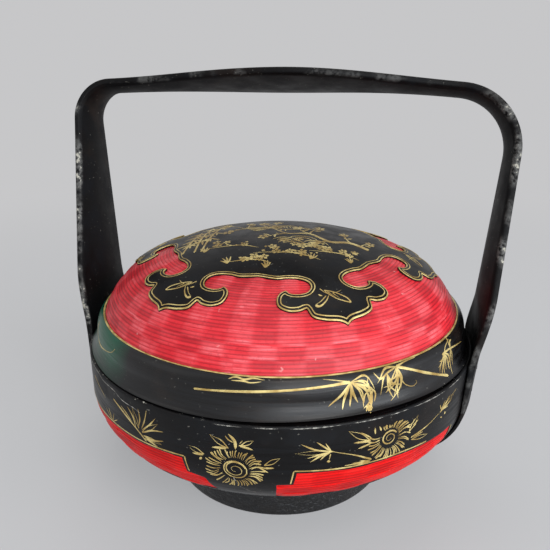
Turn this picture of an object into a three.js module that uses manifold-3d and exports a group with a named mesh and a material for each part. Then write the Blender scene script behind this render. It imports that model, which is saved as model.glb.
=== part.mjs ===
// Wedding basket: a single-tier lacquered basket of woven bamboo with a domed lift-off lid
// and a fixed strap handle. Millimetres, +Z up, origin at the centre of the foot's underside.
// The handle's legs stand at -X and +X, and the front is at -Y.
import * as THREE from 'three';
import { mergeVertices } from 'three/addons/utils/BufferGeometryUtils.js';
import Module from 'manifold-3d';

const wasm = await Module();
wasm.setup();

// Clearances and fineness
const SEAT_GAP = 0.3;            // between two pieces that lie against each other
const LID_CLEARANCE = 0.8;       // around the lid's skirt inside the bowl
const STRAP_GAP = 0.45;          // between the handle's legs and the round bowl
const RING_STEPS = 48;           // facets round every turned piece
const WELD_DISTANCE = 1e-4;      // points closer than this are one point
const degrees = THREE.MathUtils.degToRad;

// Foot
const FOOT_INSET = 1.8;          // from the edge of the bowl's flat bottom in to the foot
const FOOT_HEIGHT = 27;
const FOOT_HOOP_THICKNESS = 4;
const FOOT_LINING_THICKNESS = 3.5;
const FOOT_LINING_RECESS = 3;    // the inner hoop stops short of the table

// Bowl
const BOWL_RADIUS = 165;
const BOWL_RIM_Z = 127;
const BOWL_WALL = 4.5;
const BOWL_STRAIGHT_HEIGHT = 31; // upright wall below the rim
const BOWL_BELLY_RADIUS = 45;    // round turn from the wall to the underside
const BOWL_BELLY_TURN = degrees(55);
const RIM_HOOP_HEIGHT = 14.7;
const RIM_HOOP_THICKNESS = 3.4;
const INNER_HOOP_HEIGHT = 22;

// Lid
const LID_SETBACK = 7.5;         // from the bowl's outside in to the lid's band above its flared foot
const LID_WALL = 4;
const LID_CROWN_TURN = degrees(20);    // half of the crown's arc
const LID_SHOULDER_RADIUS = 68.5;
const LID_SHOULDER_END = degrees(22);  // how far the dome still leans in at its foot
const LID_BAND_HEIGHT = 28;
const LID_BAND_BULGE = 7.7;
const LID_BAND_FLARE = 5.5;      // how far the band's foot spreads out, almost to the rim's edge
const LID_BAND_FOOT_HEIGHT = 14; // the flare ends here and the band starts to round over
const LID_BAND_FLARE_POWER = 1.5; // 1 would be a straight cone
const LID_SKIRT_DROP = 10;       // how far the skirt reaches into the bowl
const LID_LINING_THICKNESS = 3;
const LID_LINING_HEIGHT = 20;
const COLLAR_THICKNESS = 1.3;
const COLLAR_LOBES = 6;
const COLLAR_TURN = 1.5;         // degrees round to the right from the handle's middle

// Handle strap
const HANDLE_TOP_Z = 338;
const HANDLE_SPREAD = 14.4;      // how far the corners stand out past the legs at the rim
const HANDLE_LEAN = degrees(10.5);
// The strap was bent by hand, tighter on the left and rounder on the right
const LEFT_CORNER_RADIUS = 31;
const LEFT_CROWN_RADIUS = 4000;
const RIGHT_CORNER_RADIUS = 50;
const RIGHT_CROWN_RADIUS = 1500;
const HANDLE_RIM_OFFSET_Y = -11; // the strap's middle line, where it leaves the rim
const STRAP_EDGE = 5.2;          // thickness along the edges, from the rim up
const STRAP_BELLY = 4.2;         // more in the middle of the inner face
const STRAP_TOE_EDGE = 2.6;      // thickness where the strap is pared down under the bowl
const STRAP_BASE_WIDTH = 84;     // at the rim
const STRAP_CORNER_WIDTH = 43;   // where the leg starts to bend
const STRAP_NECK_WIDTH = 31;     // where the grip starts
const STRAP_GRIP_WIDTH = 80;
const STRAP_TOE_WIDTH = 62;
const STRAP_TOE_CLEARANCE = 6;   // from the strap's end to the foot ring
const STRAP_TWIST_HEIGHT = 45;   // the strap turns from upright to leaning within this height

// Pegs through the legs
const PEG_RADIUS = 2;
const PEG_SIDES = 10;
const PEG_INSET = 0.2;           // the pegs are cut off just under the strap's face
const PEG_SPREAD = 22;
const PEG_HOLE_CLEARANCE = 0.3;
const PEG_HOLE_OVERRUN = 4;      // past the strap's outer face, which curves back
const UPPER_PEG_BELOW_RIM = 7.5;
const LOWER_PEG_BELOW_RIM = 26;
const PEG_TIP_COVER = 1.2;       // wood left in front of a peg's tip

const black = { color: 0x0d0c0c, roughness: 0.35, metalness: 0 };
const wornBlack = { color: 0x171514, roughness: 0.5, metalness: 0 };
const red = { color: 0xb5202c, roughness: 0.45, metalness: 0 };

const basket = new THREE.Group();
basket.name = 'basket';
const lid = new THREE.Group();
lid.name = 'lid';
basket.add(lid);

// Position-only closed mesh with its faces pointing out and no slivers of zero area
function closed(geometry) {
  const bare = geometry.clone();
  bare.deleteAttribute('normal');
  bare.deleteAttribute('uv');
  const merged = mergeVertices(bare, WELD_DISTANCE);
  const p = merged.attributes.position;
  const index = [];
  let volume = 0;
  const [a, b, c] = [new THREE.Vector3(), new THREE.Vector3(), new THREE.Vector3()];
  for (let i = 0; i < merged.index.count; i += 3) {
    const tri = [0, 1, 2].map((k) => merged.index.getX(i + k));
    if (new Set(tri).size < 3) continue;
    index.push(...tri);
    [a, b, c].forEach((v, k) => v.fromBufferAttribute(p, tri[k]));
    volume += a.dot(b.cross(c)) / 6;
  }
  if (volume < 0) index.reverse();
  merged.setIndex(index);
  return merged;
}

function toManifold(geometry) {
  const solid = closed(geometry);
  return new wasm.Manifold(new wasm.Mesh({
    numProp: 3,
    vertProperties: new Float32Array(solid.attributes.position.array),
    triVerts: new Uint32Array(solid.index.array),
  }));
}

function fromManifold(manifold) {
  const mesh = manifold.getMesh();
  const geometry = new THREE.BufferGeometry();
  geometry.setAttribute('position', new THREE.BufferAttribute(mesh.vertProperties, 3));
  geometry.setIndex(new THREE.BufferAttribute(mesh.triVerts, 1));
  return geometry;
}

function addPiece(parent, name, geometry, finish) {
  const solid = closed(geometry);
  solid.computeVertexNormals();
  const mesh = new THREE.Mesh(solid, new THREE.MeshStandardMaterial(finish));
  mesh.name = name;
  parent.add(mesh);
}

// Turns an outline of [radius, height] points about the Z axis
function turned(outline) {
  const points = outline.map(([r, z]) => new THREE.Vector2(r, z));
  if (points[0].x > 0) points.push(points[0].clone());
  return new THREE.LatheGeometry(points, RING_STEPS).rotateX(Math.PI / 2);
}

function hoop(innerRadius, outerRadius, bottom, top) {
  return turned([[innerRadius, bottom], [outerRadius, bottom], [outerRadius, top], [innerRadius, top]]);
}

// Points of an arc in the [radius, height] plane, for turns measured from straight out (+r)
function arc(centre, radius, from, to, steps) {
  return Array.from({ length: steps + 1 }, (_, i) => {
    const turn = from + (to - from) * i / steps;
    return [centre[0] + radius * Math.cos(turn), centre[1] + radius * Math.sin(turn)];
  });
}

// Bowl wall: the outline that every layer of the bowl follows, at an offset outwards
const bellyTop = BOWL_RIM_Z - BOWL_STRAIGHT_HEIGHT;
const bellyCentre = [BOWL_RADIUS - BOWL_BELLY_RADIUS, bellyTop];
const BELLY_STEPS = 7;
function bowlBelly(offset) {
  return arc(bellyCentre, BOWL_BELLY_RADIUS + offset, 0, -BOWL_BELLY_TURN, BELLY_STEPS);
}
// The cone from the belly in to the flat bottom, cut off at a given radius
function underside(offset, radius) {
  const [r, z] = bowlBelly(offset).at(-1);
  return [radius, z - (r - radius) / Math.tan(BOWL_BELLY_TURN)];
}

const floorBottom = FOOT_HEIGHT + SEAT_GAP;
const floorTop = floorBottom + BOWL_WALL;
function coneRadiusAt(offset, z) {
  const [r, top] = bowlBelly(offset).at(-1);
  return r - (top - z) * Math.tan(BOWL_BELLY_TURN);
}

const rimStep = BOWL_RIM_Z - RIM_HOOP_HEIGHT;
const rimWallRadius = BOWL_RADIUS - RIM_HOOP_THICKNESS - SEAT_GAP;
const innerWallRadius = BOWL_RADIUS - BOWL_WALL;
const floorEdge = coneRadiusAt(0, floorBottom);
const footRadius = floorEdge - FOOT_INSET;
// The lid's upright skirt, and the gold line above it
const lidWallRadius = BOWL_RADIUS - LID_SETBACK - LID_BAND_BULGE - SEAT_GAP;

// Radial pegs that hold the handle's legs: side is -1 or +1, row 'upper' or 'lower'
function strapMiddleY(z) {
  return HANDLE_RIM_OFFSET_Y + (z - BOWL_RIM_Z) * Math.tan(HANDLE_LEAN);
}
const strapOuterRadius = BOWL_RADIUS + STRAP_GAP + STRAP_EDGE;
const toeOffset = STRAP_GAP + STRAP_TOE_EDGE;
// The strap's outer face on the bowl's upright wall, where it thins towards the toe
function strapFaceRadius(z) {
  return THREE.MathUtils.mapLinear(z, bellyTop, BOWL_RIM_Z, BOWL_RADIUS + toeOffset, strapOuterRadius);
}
const lidSkirtClear = lidWallRadius + LID_CLEARANCE;
const pegs = [];
for (const [sideName, side] of [['left', -1], ['right', 1]]) {
  for (const [rowName, drop, tip] of [
    ['upper', UPPER_PEG_BELOW_RIM, lidSkirtClear + PEG_TIP_COVER],
    ['lower', LOWER_PEG_BELOW_RIM, innerWallRadius + PEG_TIP_COVER],
  ]) {
    for (const [endName, spread] of [['front', -PEG_SPREAD], ['back', PEG_SPREAD]]) {
      const z = BOWL_RIM_Z - drop;
      const turn = Math.asin((strapMiddleY(z) + spread) / strapOuterRadius);
      pegs.push({ name: `leg_peg_${sideName}_${rowName}_${endName}`, side, z, turn, tip });
    }
  }
}

function placePeg(geometry, peg) {
  geometry.rotateZ(-Math.PI / 2);          // the peg's axis from +Y to +X
  geometry.rotateZ(peg.side > 0 ? peg.turn : Math.PI - peg.turn);
  return geometry.translate(0, 0, peg.z);
}

function pegBody(peg) {
  const face = strapFaceRadius(peg.z - PEG_RADIUS) - PEG_INSET;
  const outline = [[0, peg.tip], [PEG_RADIUS, peg.tip], [PEG_RADIUS, face], [0, face]];
  const points = outline.map(([r, along]) => new THREE.Vector2(r, along));
  return placePeg(new THREE.LatheGeometry(points, PEG_SIDES), peg);
}

function pegHole(peg) {
  const start = peg.tip - PEG_HOLE_CLEARANCE;
  const end = strapOuterRadius + PEG_HOLE_OVERRUN;
  const radius = PEG_RADIUS + PEG_HOLE_CLEARANCE;
  const hole = new THREE.CylinderGeometry(radius, radius, end - start, PEG_SIDES);
  return placePeg(hole.translate(0, (start + end) / 2, 0), peg);
}

function drilled(geometry) {
  return fromManifold(pegs.reduce((solid, peg) => solid.subtract(toManifold(pegHole(peg))),
    toManifold(geometry)));
}

// Foot: an outer hoop and a lining hoop, bent side by side
addPiece(basket, 'foot_ring',
  hoop(footRadius - FOOT_HOOP_THICKNESS, footRadius, 0, FOOT_HEIGHT), wornBlack);
const liningOuter = footRadius - FOOT_HOOP_THICKNESS - SEAT_GAP;
addPiece(basket, 'foot_inner_hoop',
  hoop(liningOuter - FOOT_LINING_THICKNESS, liningOuter, FOOT_LINING_RECESS, FOOT_HEIGHT), wornBlack);

// Bowl: one woven shell, thinner behind the rim hoop
const innerFloorEdge = coneRadiusAt(-BOWL_WALL, floorTop);
addPiece(basket, 'bowl_shell', drilled(turned([
  [0, floorBottom], [floorEdge, floorBottom], ...bowlBelly(0).reverse(),
  [BOWL_RADIUS, rimStep - SEAT_GAP], [rimWallRadius, rimStep - SEAT_GAP], [rimWallRadius, BOWL_RIM_Z],
  [rimWallRadius - BOWL_WALL, BOWL_RIM_Z], [rimWallRadius - BOWL_WALL, rimStep - BOWL_WALL],
  ...bowlBelly(-BOWL_WALL), [innerFloorEdge, floorTop], [0, floorTop],
])), red);
addPiece(basket, 'bowl_rim_hoop',
  drilled(hoop(BOWL_RADIUS - RIM_HOOP_THICKNESS, BOWL_RADIUS, rimStep, BOWL_RIM_Z)), black);
addPiece(basket, 'bowl_inner_hoop', drilled(hoop(lidSkirtClear,
  rimWallRadius - BOWL_WALL - SEAT_GAP, BOWL_RIM_Z - INNER_HOOP_HEIGHT, BOWL_RIM_Z)), black);

for (const peg of pegs) addPiece(basket, peg.name, pegBody(peg), black);

// Lid dome: a flat crown that turns down through a tighter shoulder to the upright skirt
const CROWN_STEPS = 4;
const SHOULDER_STEPS = 6;
const goldLineZ = BOWL_RIM_Z + LID_BAND_HEIGHT;
const crownEnd = Math.PI / 2 - LID_CROWN_TURN;
const shoulderCentre = [lidWallRadius - LID_SHOULDER_RADIUS * Math.cos(LID_SHOULDER_END),
  goldLineZ - LID_SHOULDER_RADIUS * Math.sin(LID_SHOULDER_END)];
// The crown's arc starts on the axis and meets the shoulder's arc without a kink
const crownDrop = shoulderCentre[0] / Math.tan(LID_CROWN_TURN);
const crownRadius = LID_SHOULDER_RADIUS + shoulderCentre[0] / Math.sin(LID_CROWN_TURN);
const crownCentre = [0, shoulderCentre[1] - crownDrop];
function domeOutline(offset) {
  const shoulder = arc(shoulderCentre, LID_SHOULDER_RADIUS + offset, crownEnd, LID_SHOULDER_END,
    SHOULDER_STEPS);
  const crown = arc(crownCentre, crownRadius + offset, Math.PI / 2, crownEnd, CROWN_STEPS);
  return [...crown, ...shoulder.slice(1)];
}
const skirtBottom = BOWL_RIM_Z - LID_SKIRT_DROP;
const skirtInner = lidWallRadius - LID_WALL;
const domeInside = domeOutline(-LID_WALL).filter(([r]) => r < skirtInner);
const domeShell = [...domeOutline(0), [lidWallRadius, skirtBottom], [skirtInner, skirtBottom],
  [skirtInner, domeInside.at(-1)[1]], ...domeInside.reverse()];
domeShell[0][0] = 0;
domeShell.at(-1)[0] = 0;
addPiece(lid, 'lid_dome', turned(domeShell), red);

// Lid band: a thick bent hoop with a rounded shoulder that meets the dome at the gold line
const bandInner = lidWallRadius + SEAT_GAP;
const bandBottom = BOWL_RIM_Z + SEAT_GAP;
const bandRadius = bandInner + LID_BAND_BULGE;
const shoulderZ = BOWL_RIM_Z + LID_BAND_FOOT_HEIGHT;
const BAND_STEPS = 5;
const bandFoot = Array.from({ length: BAND_STEPS }, (_, i) => {
  const share = i / BAND_STEPS;
  return [bandRadius + LID_BAND_FLARE * (1 - share) ** LID_BAND_FLARE_POWER,
    THREE.MathUtils.lerp(bandBottom, shoulderZ, share)];
});
const bandShoulder = Array.from({ length: BAND_STEPS }, (_, i) => {
  const turn = Math.PI / 2 * i / BAND_STEPS;
  return [bandInner + LID_BAND_BULGE * Math.cos(turn),
    shoulderZ + (goldLineZ - shoulderZ) * Math.sin(turn)];
});
addPiece(lid, 'lid_band', turned([[bandInner, bandBottom], ...bandFoot, ...bandShoulder,
  [bandInner, goldLineZ]]), black);

const liningRadius = skirtInner - SEAT_GAP;
addPiece(lid, 'lid_inner_hoop', hoop(liningRadius - LID_LINING_THICKNESS, liningRadius, skirtBottom,
  skirtBottom + LID_LINING_HEIGHT), black);

// Cloud collar: a raised sheet over the crown with scrolled lobes. Half a lobe is drawn as
// [degrees from the lobe's middle, inset from the gold line in plan].
const lobeTip = [[0, 16.5], [2, 19], [6.5, 20.5], [10, 23], [11.5, 29]];
const lobeBulge = [[14, 27.2], [17.5, 27.2], [20.5, 30.5], [21.3, 36.5], [20.3, 42.5], [17.7, 46.2]];
const redCurl = [[16.2, 42.7], [13, 41.7], [9.9, 43.4], [7.9, 48.5], [8.3, 54], [11.5, 57.8]];
const tongue = [[16.5, 59], [22, 58.3]];
const tongueMiddle = [180 / COLLAR_LOBES, 60.5];
const halfLobe = [...lobeTip, ...lobeBulge, ...redCurl, ...tongue];
const otherHalf = halfLobe.slice(1).reverse().map(([turn, inset]) => [-turn, inset]);
const collarPoints = Array.from({ length: COLLAR_LOBES }, (_, k) => {
  const middle = COLLAR_TURN - 90 + (k + 0.5) * 360 / COLLAR_LOBES;
  return [...otherHalf, ...halfLobe, tongueMiddle].map(([turn, inset]) => {
    const angle = degrees(middle + turn);
    const radius = lidWallRadius - inset;
    return new THREE.Vector2(radius * Math.cos(angle), radius * Math.sin(angle));
  });
});
const collarOutline = new THREE.Shape(collarPoints.flat());
const collarInside = domeOutline(SEAT_GAP);
const collarOutside = domeOutline(SEAT_GAP + COLLAR_THICKNESS);
collarInside[0][0] = 0;
collarOutside[0][0] = 0;
const collarSheet = turned([...collarOutside, ...collarInside.reverse()]);
const collarPrism = new THREE.ExtrudeGeometry(collarOutline,
  { depth: HANDLE_TOP_Z, bevelEnabled: false });
addPiece(lid, 'lid_cloud_collar',
  fromManifold(toManifold(collarSheet).intersect(toManifold(collarPrism))), black);

// Handle: one bent strap, built as sections from each toe to the middle of the grip. Across a
// section, u runs from -0.5 at the front edge to 0.5 at the back edge.
const ACROSS = 6;
const acrossSteps = Array.from({ length: ACROSS + 1 }, (_, i) => i / ACROSS - 0.5);

// Lower leg: the section wraps round the bowl at a fixed point of the bowl's outline
function legOnBowl([innerR, innerZ], [outerR, outerZ], width) {
  const ring = [];
  for (const u of acrossSteps) {
    const y = strapMiddleY(outerZ) + u * width;
    ring.push(new THREE.Vector3(Math.sqrt(outerR ** 2 - y ** 2), y, outerZ));
  }
  for (const u of [...acrossSteps].reverse()) {
    const y = strapMiddleY(outerZ) + u * width;
    ring.push(new THREE.Vector3(Math.sqrt(innerR ** 2 - y ** 2), y, innerZ));
  }
  return ring;
}

// Upper leg, corner and grip: the section stands square to the hoop and leans back with it
function freeSection(x, height, normalX, normalZ, width) {
  const settled = THREE.MathUtils.smoothstep(height, 0, STRAP_TWIST_HEIGHT);
  const lean = HANDLE_LEAN * settled;
  const middleY = strapMiddleY(BOWL_RIM_Z + height);
  const place = (u, depth) => {
    const wrap = (1 - settled) * (strapOuterRadius - Math.sqrt(strapOuterRadius ** 2
      - (middleY + u * width) ** 2));
    const inward = depth + wrap;
    const along = u * width;
    return new THREE.Vector3(x + inward * normalX,
      middleY + along * Math.cos(lean) + inward * normalZ * Math.sin(lean),
      BOWL_RIM_Z + height - along * Math.sin(lean) + inward * normalZ * Math.cos(lean));
  };
  const outer = acrossSteps.map((u) => place(u, 0));
  const inner = [...acrossSteps].reverse().map((u) =>
    place(u, STRAP_EDGE + settled * STRAP_BELLY * (1 - 4 * u * u)));
  return [...outer, ...inner];
}

// The strap from the toe up the bowl to the rim
const LEG_STEPS = 6;
const CORNER_STEPS = 7;
const GRIP_STEPS = 6;
const CONE_STEPS = 5;
const toeRadius = footRadius + STRAP_TOE_CLEARANCE;
function legLine(offset, endRadius) {
  const belly = bowlBelly(offset).reverse();
  const cone = Array.from({ length: CONE_STEPS }, (_, i) =>
    underside(offset, THREE.MathUtils.lerp(endRadius, belly[0][0], i / CONE_STEPS)));
  return [...cone, ...belly];
}
// The toe is cut off square to the bowl's underside
const innerLine = legLine(STRAP_GAP, toeRadius);
const outerLine = legLine(toeOffset, toeRadius + STRAP_TOE_EDGE * Math.cos(BOWL_BELLY_TURN));
const rimLine = [[BOWL_RADIUS + STRAP_GAP, BOWL_RIM_Z], [strapOuterRadius, BOWL_RIM_Z]];
function legBelowRim() {
  const sections = outerLine.map((outer, i) => {
    const share = i / (outerLine.length - 1);
    const width = THREE.MathUtils.lerp(STRAP_TOE_WIDTH, STRAP_BASE_WIDTH, share);
    return legOnBowl(innerLine[i], outer, width);
  });
  return [...sections, legOnBowl(...rimLine, STRAP_BASE_WIDTH)];
}

// One half of the hoop from its toe to the grip's middle. Above the rim its outer line is a
// straight leg, a corner arc and half of the crowned top, all tangent to one another.
function handleHalf(cornerRadius, crownRadius) {
  const legFoot = new THREE.Vector2(strapOuterRadius, 0);
  const crownMiddle = new THREE.Vector2(0, HANDLE_TOP_Z - BOWL_RIM_Z - crownRadius);
  const cornerX = strapOuterRadius + HANDLE_SPREAD - cornerRadius;
  const cornerCentre = new THREE.Vector2(cornerX,
    crownMiddle.y + Math.sqrt((crownRadius - cornerRadius) ** 2 - cornerX ** 2));
  const crownTurn = Math.atan2(cornerX, cornerCentre.y - crownMiddle.y);
  const toCorner = cornerCentre.clone().sub(legFoot);
  const splay = Math.atan2(toCorner.x, toCorner.y) + Math.asin(cornerRadius / toCorner.length());
  const legLength = Math.sqrt(toCorner.lengthSq() - cornerRadius ** 2);
  const legRun = new THREE.Vector2(Math.sin(splay), Math.cos(splay));
  const half = legBelowRim();
  // Up the free leg
  for (let i = 1; i <= LEG_STEPS; i++) {
    const along = legLength * i / LEG_STEPS;
    const width = THREE.MathUtils.lerp(STRAP_BASE_WIDTH, STRAP_CORNER_WIDTH, i / LEG_STEPS);
    half.push(freeSection(legFoot.x + legRun.x * along, legRun.y * along, -legRun.y, legRun.x, width));
  }
  // Round the corner
  for (let i = 1; i <= CORNER_STEPS; i++) {
    const turn = THREE.MathUtils.lerp(-splay, Math.PI / 2 - crownTurn, i / CORNER_STEPS);
    const width = THREE.MathUtils.lerp(STRAP_CORNER_WIDTH, STRAP_NECK_WIDTH, i / CORNER_STEPS);
    const [nx, nz] = [-Math.cos(turn), -Math.sin(turn)];
    half.push(freeSection(cornerCentre.x - cornerRadius * nx, cornerCentre.y - cornerRadius * nz,
      nx, nz, width));
  }
  // Along the grip to its middle
  for (let i = 1; i <= GRIP_STEPS; i++) {
    const turn = crownTurn * (1 - i / GRIP_STEPS);
    const swell = Math.sin(Math.PI / 2 * i / GRIP_STEPS) ** 2;
    const width = THREE.MathUtils.lerp(STRAP_NECK_WIDTH, STRAP_GRIP_WIDTH, swell);
    half.push(freeSection(crownRadius * Math.sin(turn),
      crownMiddle.y + crownRadius * Math.cos(turn), -Math.sin(turn), -Math.cos(turn), width));
  }
  return half;
}
const rightHalf = handleHalf(RIGHT_CORNER_RADIUS, RIGHT_CROWN_RADIUS);
const leftHalf = handleHalf(LEFT_CORNER_RADIUS, LEFT_CROWN_RADIUS).slice(0, -1).reverse()
  .map((ring) => ring.map((p) => new THREE.Vector3(-p.x, p.y, p.z)));

// Skin over sections of equal point count, with a strip of quads across each end
function loft(sections) {
  const count = sections[0].length;
  const positions = sections.flatMap((ring) => ring.flatMap((p) => p.toArray()));
  const index = [];
  for (let s = 0; s + 1 < sections.length; s++) {
    for (let k = 0; k < count; k++) {
      const [a, b] = [s * count + k, s * count + (k + 1) % count];
      index.push(a, b, b + count, a, b + count, a + count);
    }
  }
  for (const [start, flip] of [[0, true], [(sections.length - 1) * count, false]]) {
    for (let k = 0; k + 1 < count / 2; k++) {
      const quad = [start + k, start + k + 1, start + count - 2 - k, start + count - 1 - k];
      const [a, b, c, d] = flip ? quad.reverse() : quad;
      index.push(a, b, c, a, c, d);
    }
  }
  const geometry = new THREE.BufferGeometry();
  geometry.setAttribute('position', new THREE.Float32BufferAttribute(positions, 3));
  geometry.setIndex(index);
  return geometry;
}
addPiece(basket, 'handle', drilled(loft([...rightHalf, ...leftHalf])), black);

export default basket;
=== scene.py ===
import math
import random

import bmesh
import bpy
import numpy as np
from mathutils import Matrix, Vector
from mathutils.geometry import delaunay_2d_cdt


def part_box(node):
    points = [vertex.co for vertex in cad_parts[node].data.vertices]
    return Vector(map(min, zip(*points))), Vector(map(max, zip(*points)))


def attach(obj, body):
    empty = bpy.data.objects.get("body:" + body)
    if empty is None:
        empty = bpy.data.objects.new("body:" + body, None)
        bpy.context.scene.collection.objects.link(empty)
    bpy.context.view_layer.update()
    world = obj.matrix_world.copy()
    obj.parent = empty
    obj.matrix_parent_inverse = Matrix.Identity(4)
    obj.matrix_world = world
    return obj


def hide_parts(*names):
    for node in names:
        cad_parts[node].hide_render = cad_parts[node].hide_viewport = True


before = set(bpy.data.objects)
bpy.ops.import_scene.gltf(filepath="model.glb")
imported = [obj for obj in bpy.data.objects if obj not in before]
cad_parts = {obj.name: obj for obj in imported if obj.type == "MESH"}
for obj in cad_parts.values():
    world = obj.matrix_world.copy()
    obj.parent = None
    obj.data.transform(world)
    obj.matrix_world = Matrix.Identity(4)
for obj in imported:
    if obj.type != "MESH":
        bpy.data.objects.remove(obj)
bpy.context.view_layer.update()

MM = 0.001
GAP = 0.3                 # the frame's gap between two pieces that lie against each other
hand = random.Random(7)   # the painter's hand: every random draw comes from here


def box_mm(node):
    low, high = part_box(node)
    return low / MM, high / MM


# Sizes read from the frame
_, foot_high = box_mm("foot_ring")
rim_low, rim_high = box_mm("bowl_rim_hoop")
band_low, band_high = box_mm("lid_band")
dome_low, _ = box_mm("lid_dome")
FOOT_RADIUS = foot_high.x
FOOT_HEIGHT = foot_high.z
RIM_RADIUS = rim_high.x
RIM_Z = rim_high.z
BAND_FOOT_RADIUS = band_high.x
BAND_BOTTOM = band_low.z
GOLD_LINE_Z = band_high.z
SKIRT_BOTTOM = dome_low.z

# Sizes that the frame's boxes don't show, the same as in the part's source
BELLY_RADIUS = 45
BELLY_TURN = 55
BELLY_TOP_Z = RIM_Z - 31
BOWL_WALL = 4.5
BAND_FLARE = 5.5
BAND_FLARE_POWER = 1.5
BAND_BULGE = 7.7
BAND_FOOT_HEIGHT = 14
BAND_RADIUS = BAND_FOOT_RADIUS - BAND_FLARE
LID_WALL = 4
LID_RADIUS = BAND_RADIUS - BAND_BULGE - GAP
SHOULDER_RADIUS = 68.5
SHOULDER_END = 22
CROWN_TURN = 20
COLLAR_THICKNESS = 1.3
COLLAR_TURN = 1.5
RIM_HOOP_THICKNESS = 3.4
FOOT_THICKNESS = 4
INNER_HOOP_HEIGHT = 22
LID_CLEARANCE = 0.8

# Painted and woven detail
ART_TURN = 2.5            # the painting is centred a little to the right of the handle's middle
RIB_PITCH = 2.75          # one woven splint to the next
LID_STAKES = 48
BOWL_STAKES = 52
COURSE = 9.5              # the splints change sides in courses this wide near the lower edge
RIB_RELIEF = 0.3
WEAVE_RELIEF = 0.35
LACQUER_LIFT = 0.5        # thickness of the black ground over the weave
PANEL_SINK = 0.8          # the woven panels lie this far inside the bowl's full radius
STROKE_LIFT = 0.2
STROKE_EDGE = 0.03        # height of a stroke's two sides over the surface
STROKE_SINK = -0.25       # its underside lies this far in the surface
BAND_UNEVEN = 0.22


def arc(centre, radius, start, end, steps):
    turns = np.radians(np.linspace(start, end, steps))
    return np.column_stack([centre[0] + radius * np.cos(turns),
                            centre[1] + radius * np.sin(turns)])


def outward(points):
    """Unit normals of an outline that is followed from the top down, or from the axis out."""
    along = np.gradient(points, axis=0)
    along /= np.linalg.norm(along, axis=1)[:, None] + 1e-12
    return np.column_stack([-along[:, 1], along[:, 0]])


class Skin:
    """A turned surface. s is the distance along its outline."""

    def __init__(self, outline):
        self.points = np.array(outline, float)
        steps = np.linalg.norm(np.diff(self.points, axis=0), axis=1)
        self.s = np.concatenate([[0], np.cumsum(steps)])
        self.normals = outward(self.points)

    def outline_at(self, s, lift=0.0):
        columns = (*self.points.T, *self.normals.T)
        r, z, out, up = (np.interp(s, self.s, column) for column in columns)
        return r + lift * out, z + lift * up

    def place(self, turn, s, lift=0.0):
        r, z = self.outline_at(s, lift)
        angle = np.radians(turn)
        return np.column_stack([r * np.sin(angle), -r * np.cos(angle), z])

    def s_at_height(self, z):
        return float(np.interp(-z, -self.points[:, 1], self.s))


# Outlines of the three painted surfaces
belly_centre = (RIM_RADIUS - BELLY_RADIUS, BELLY_TOP_Z)


def bowl_outline(offset, top, floor_z):
    belly = arc(belly_centre, BELLY_RADIUS + offset, 0, -BELLY_TURN, 45)
    end_r, end_z = belly[-1]
    floor_r = end_r - (end_z - floor_z) * math.tan(math.radians(BELLY_TURN))
    wall = np.column_stack([np.full(16, RIM_RADIUS + offset), np.linspace(top, BELLY_TOP_Z, 16)])
    heights = np.linspace(0, 1, 20)[1:, None]
    cone = belly[-1] + (np.array([floor_r, floor_z]) - belly[-1]) * heights
    return np.vstack([wall[:-1], belly, cone])


shoulder_centre = (LID_RADIUS - SHOULDER_RADIUS * math.cos(math.radians(SHOULDER_END)),
                   GOLD_LINE_Z - SHOULDER_RADIUS * math.sin(math.radians(SHOULDER_END)))
crown_centre = (0, shoulder_centre[1] - shoulder_centre[0] / math.tan(math.radians(CROWN_TURN)))
crown_radius = SHOULDER_RADIUS + shoulder_centre[0] / math.sin(math.radians(CROWN_TURN))


def dome_outline(offset):
    crown = arc(crown_centre, crown_radius + offset, 90, 90 - CROWN_TURN, 50)
    shoulder = arc(shoulder_centre, SHOULDER_RADIUS + offset, 90 - CROWN_TURN, SHOULDER_END, 60)
    crown[0, 0] = 0
    return np.vstack([crown, shoulder[1:]])


def band_outline():
    shoulder = np.radians(np.linspace(90, 0, 28))
    shoulder_z = RIM_Z + BAND_FOOT_HEIGHT
    inner = BAND_RADIUS - BAND_BULGE
    upper = np.column_stack([inner + BAND_BULGE * np.cos(shoulder),
                             shoulder_z + (GOLD_LINE_Z - shoulder_z) * np.sin(shoulder)])
    share = np.linspace(0, 1, 16)[1:]
    foot = np.column_stack([BAND_RADIUS + BAND_FLARE * share ** BAND_FLARE_POWER,
                            shoulder_z + (BAND_BOTTOM - shoulder_z) * share])
    return np.vstack([upper, foot])


SHELL_TOP = rim_low.z - GAP
bowl_skin = Skin(bowl_outline(-PANEL_SINK, SHELL_TOP, FOOT_HEIGHT + GAP))
band_skin = Skin(band_outline())
dome_skin = Skin(dome_outline(0))


# Mesh helpers
SHARP_CORNER = math.radians(70)
BOWL_SEGMENTS = 360
HOOP_SEGMENTS = 360
DOME_SEGMENTS = 576
BAND_SEGMENTS = 480
PEG_SEGMENTS = 32


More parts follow.
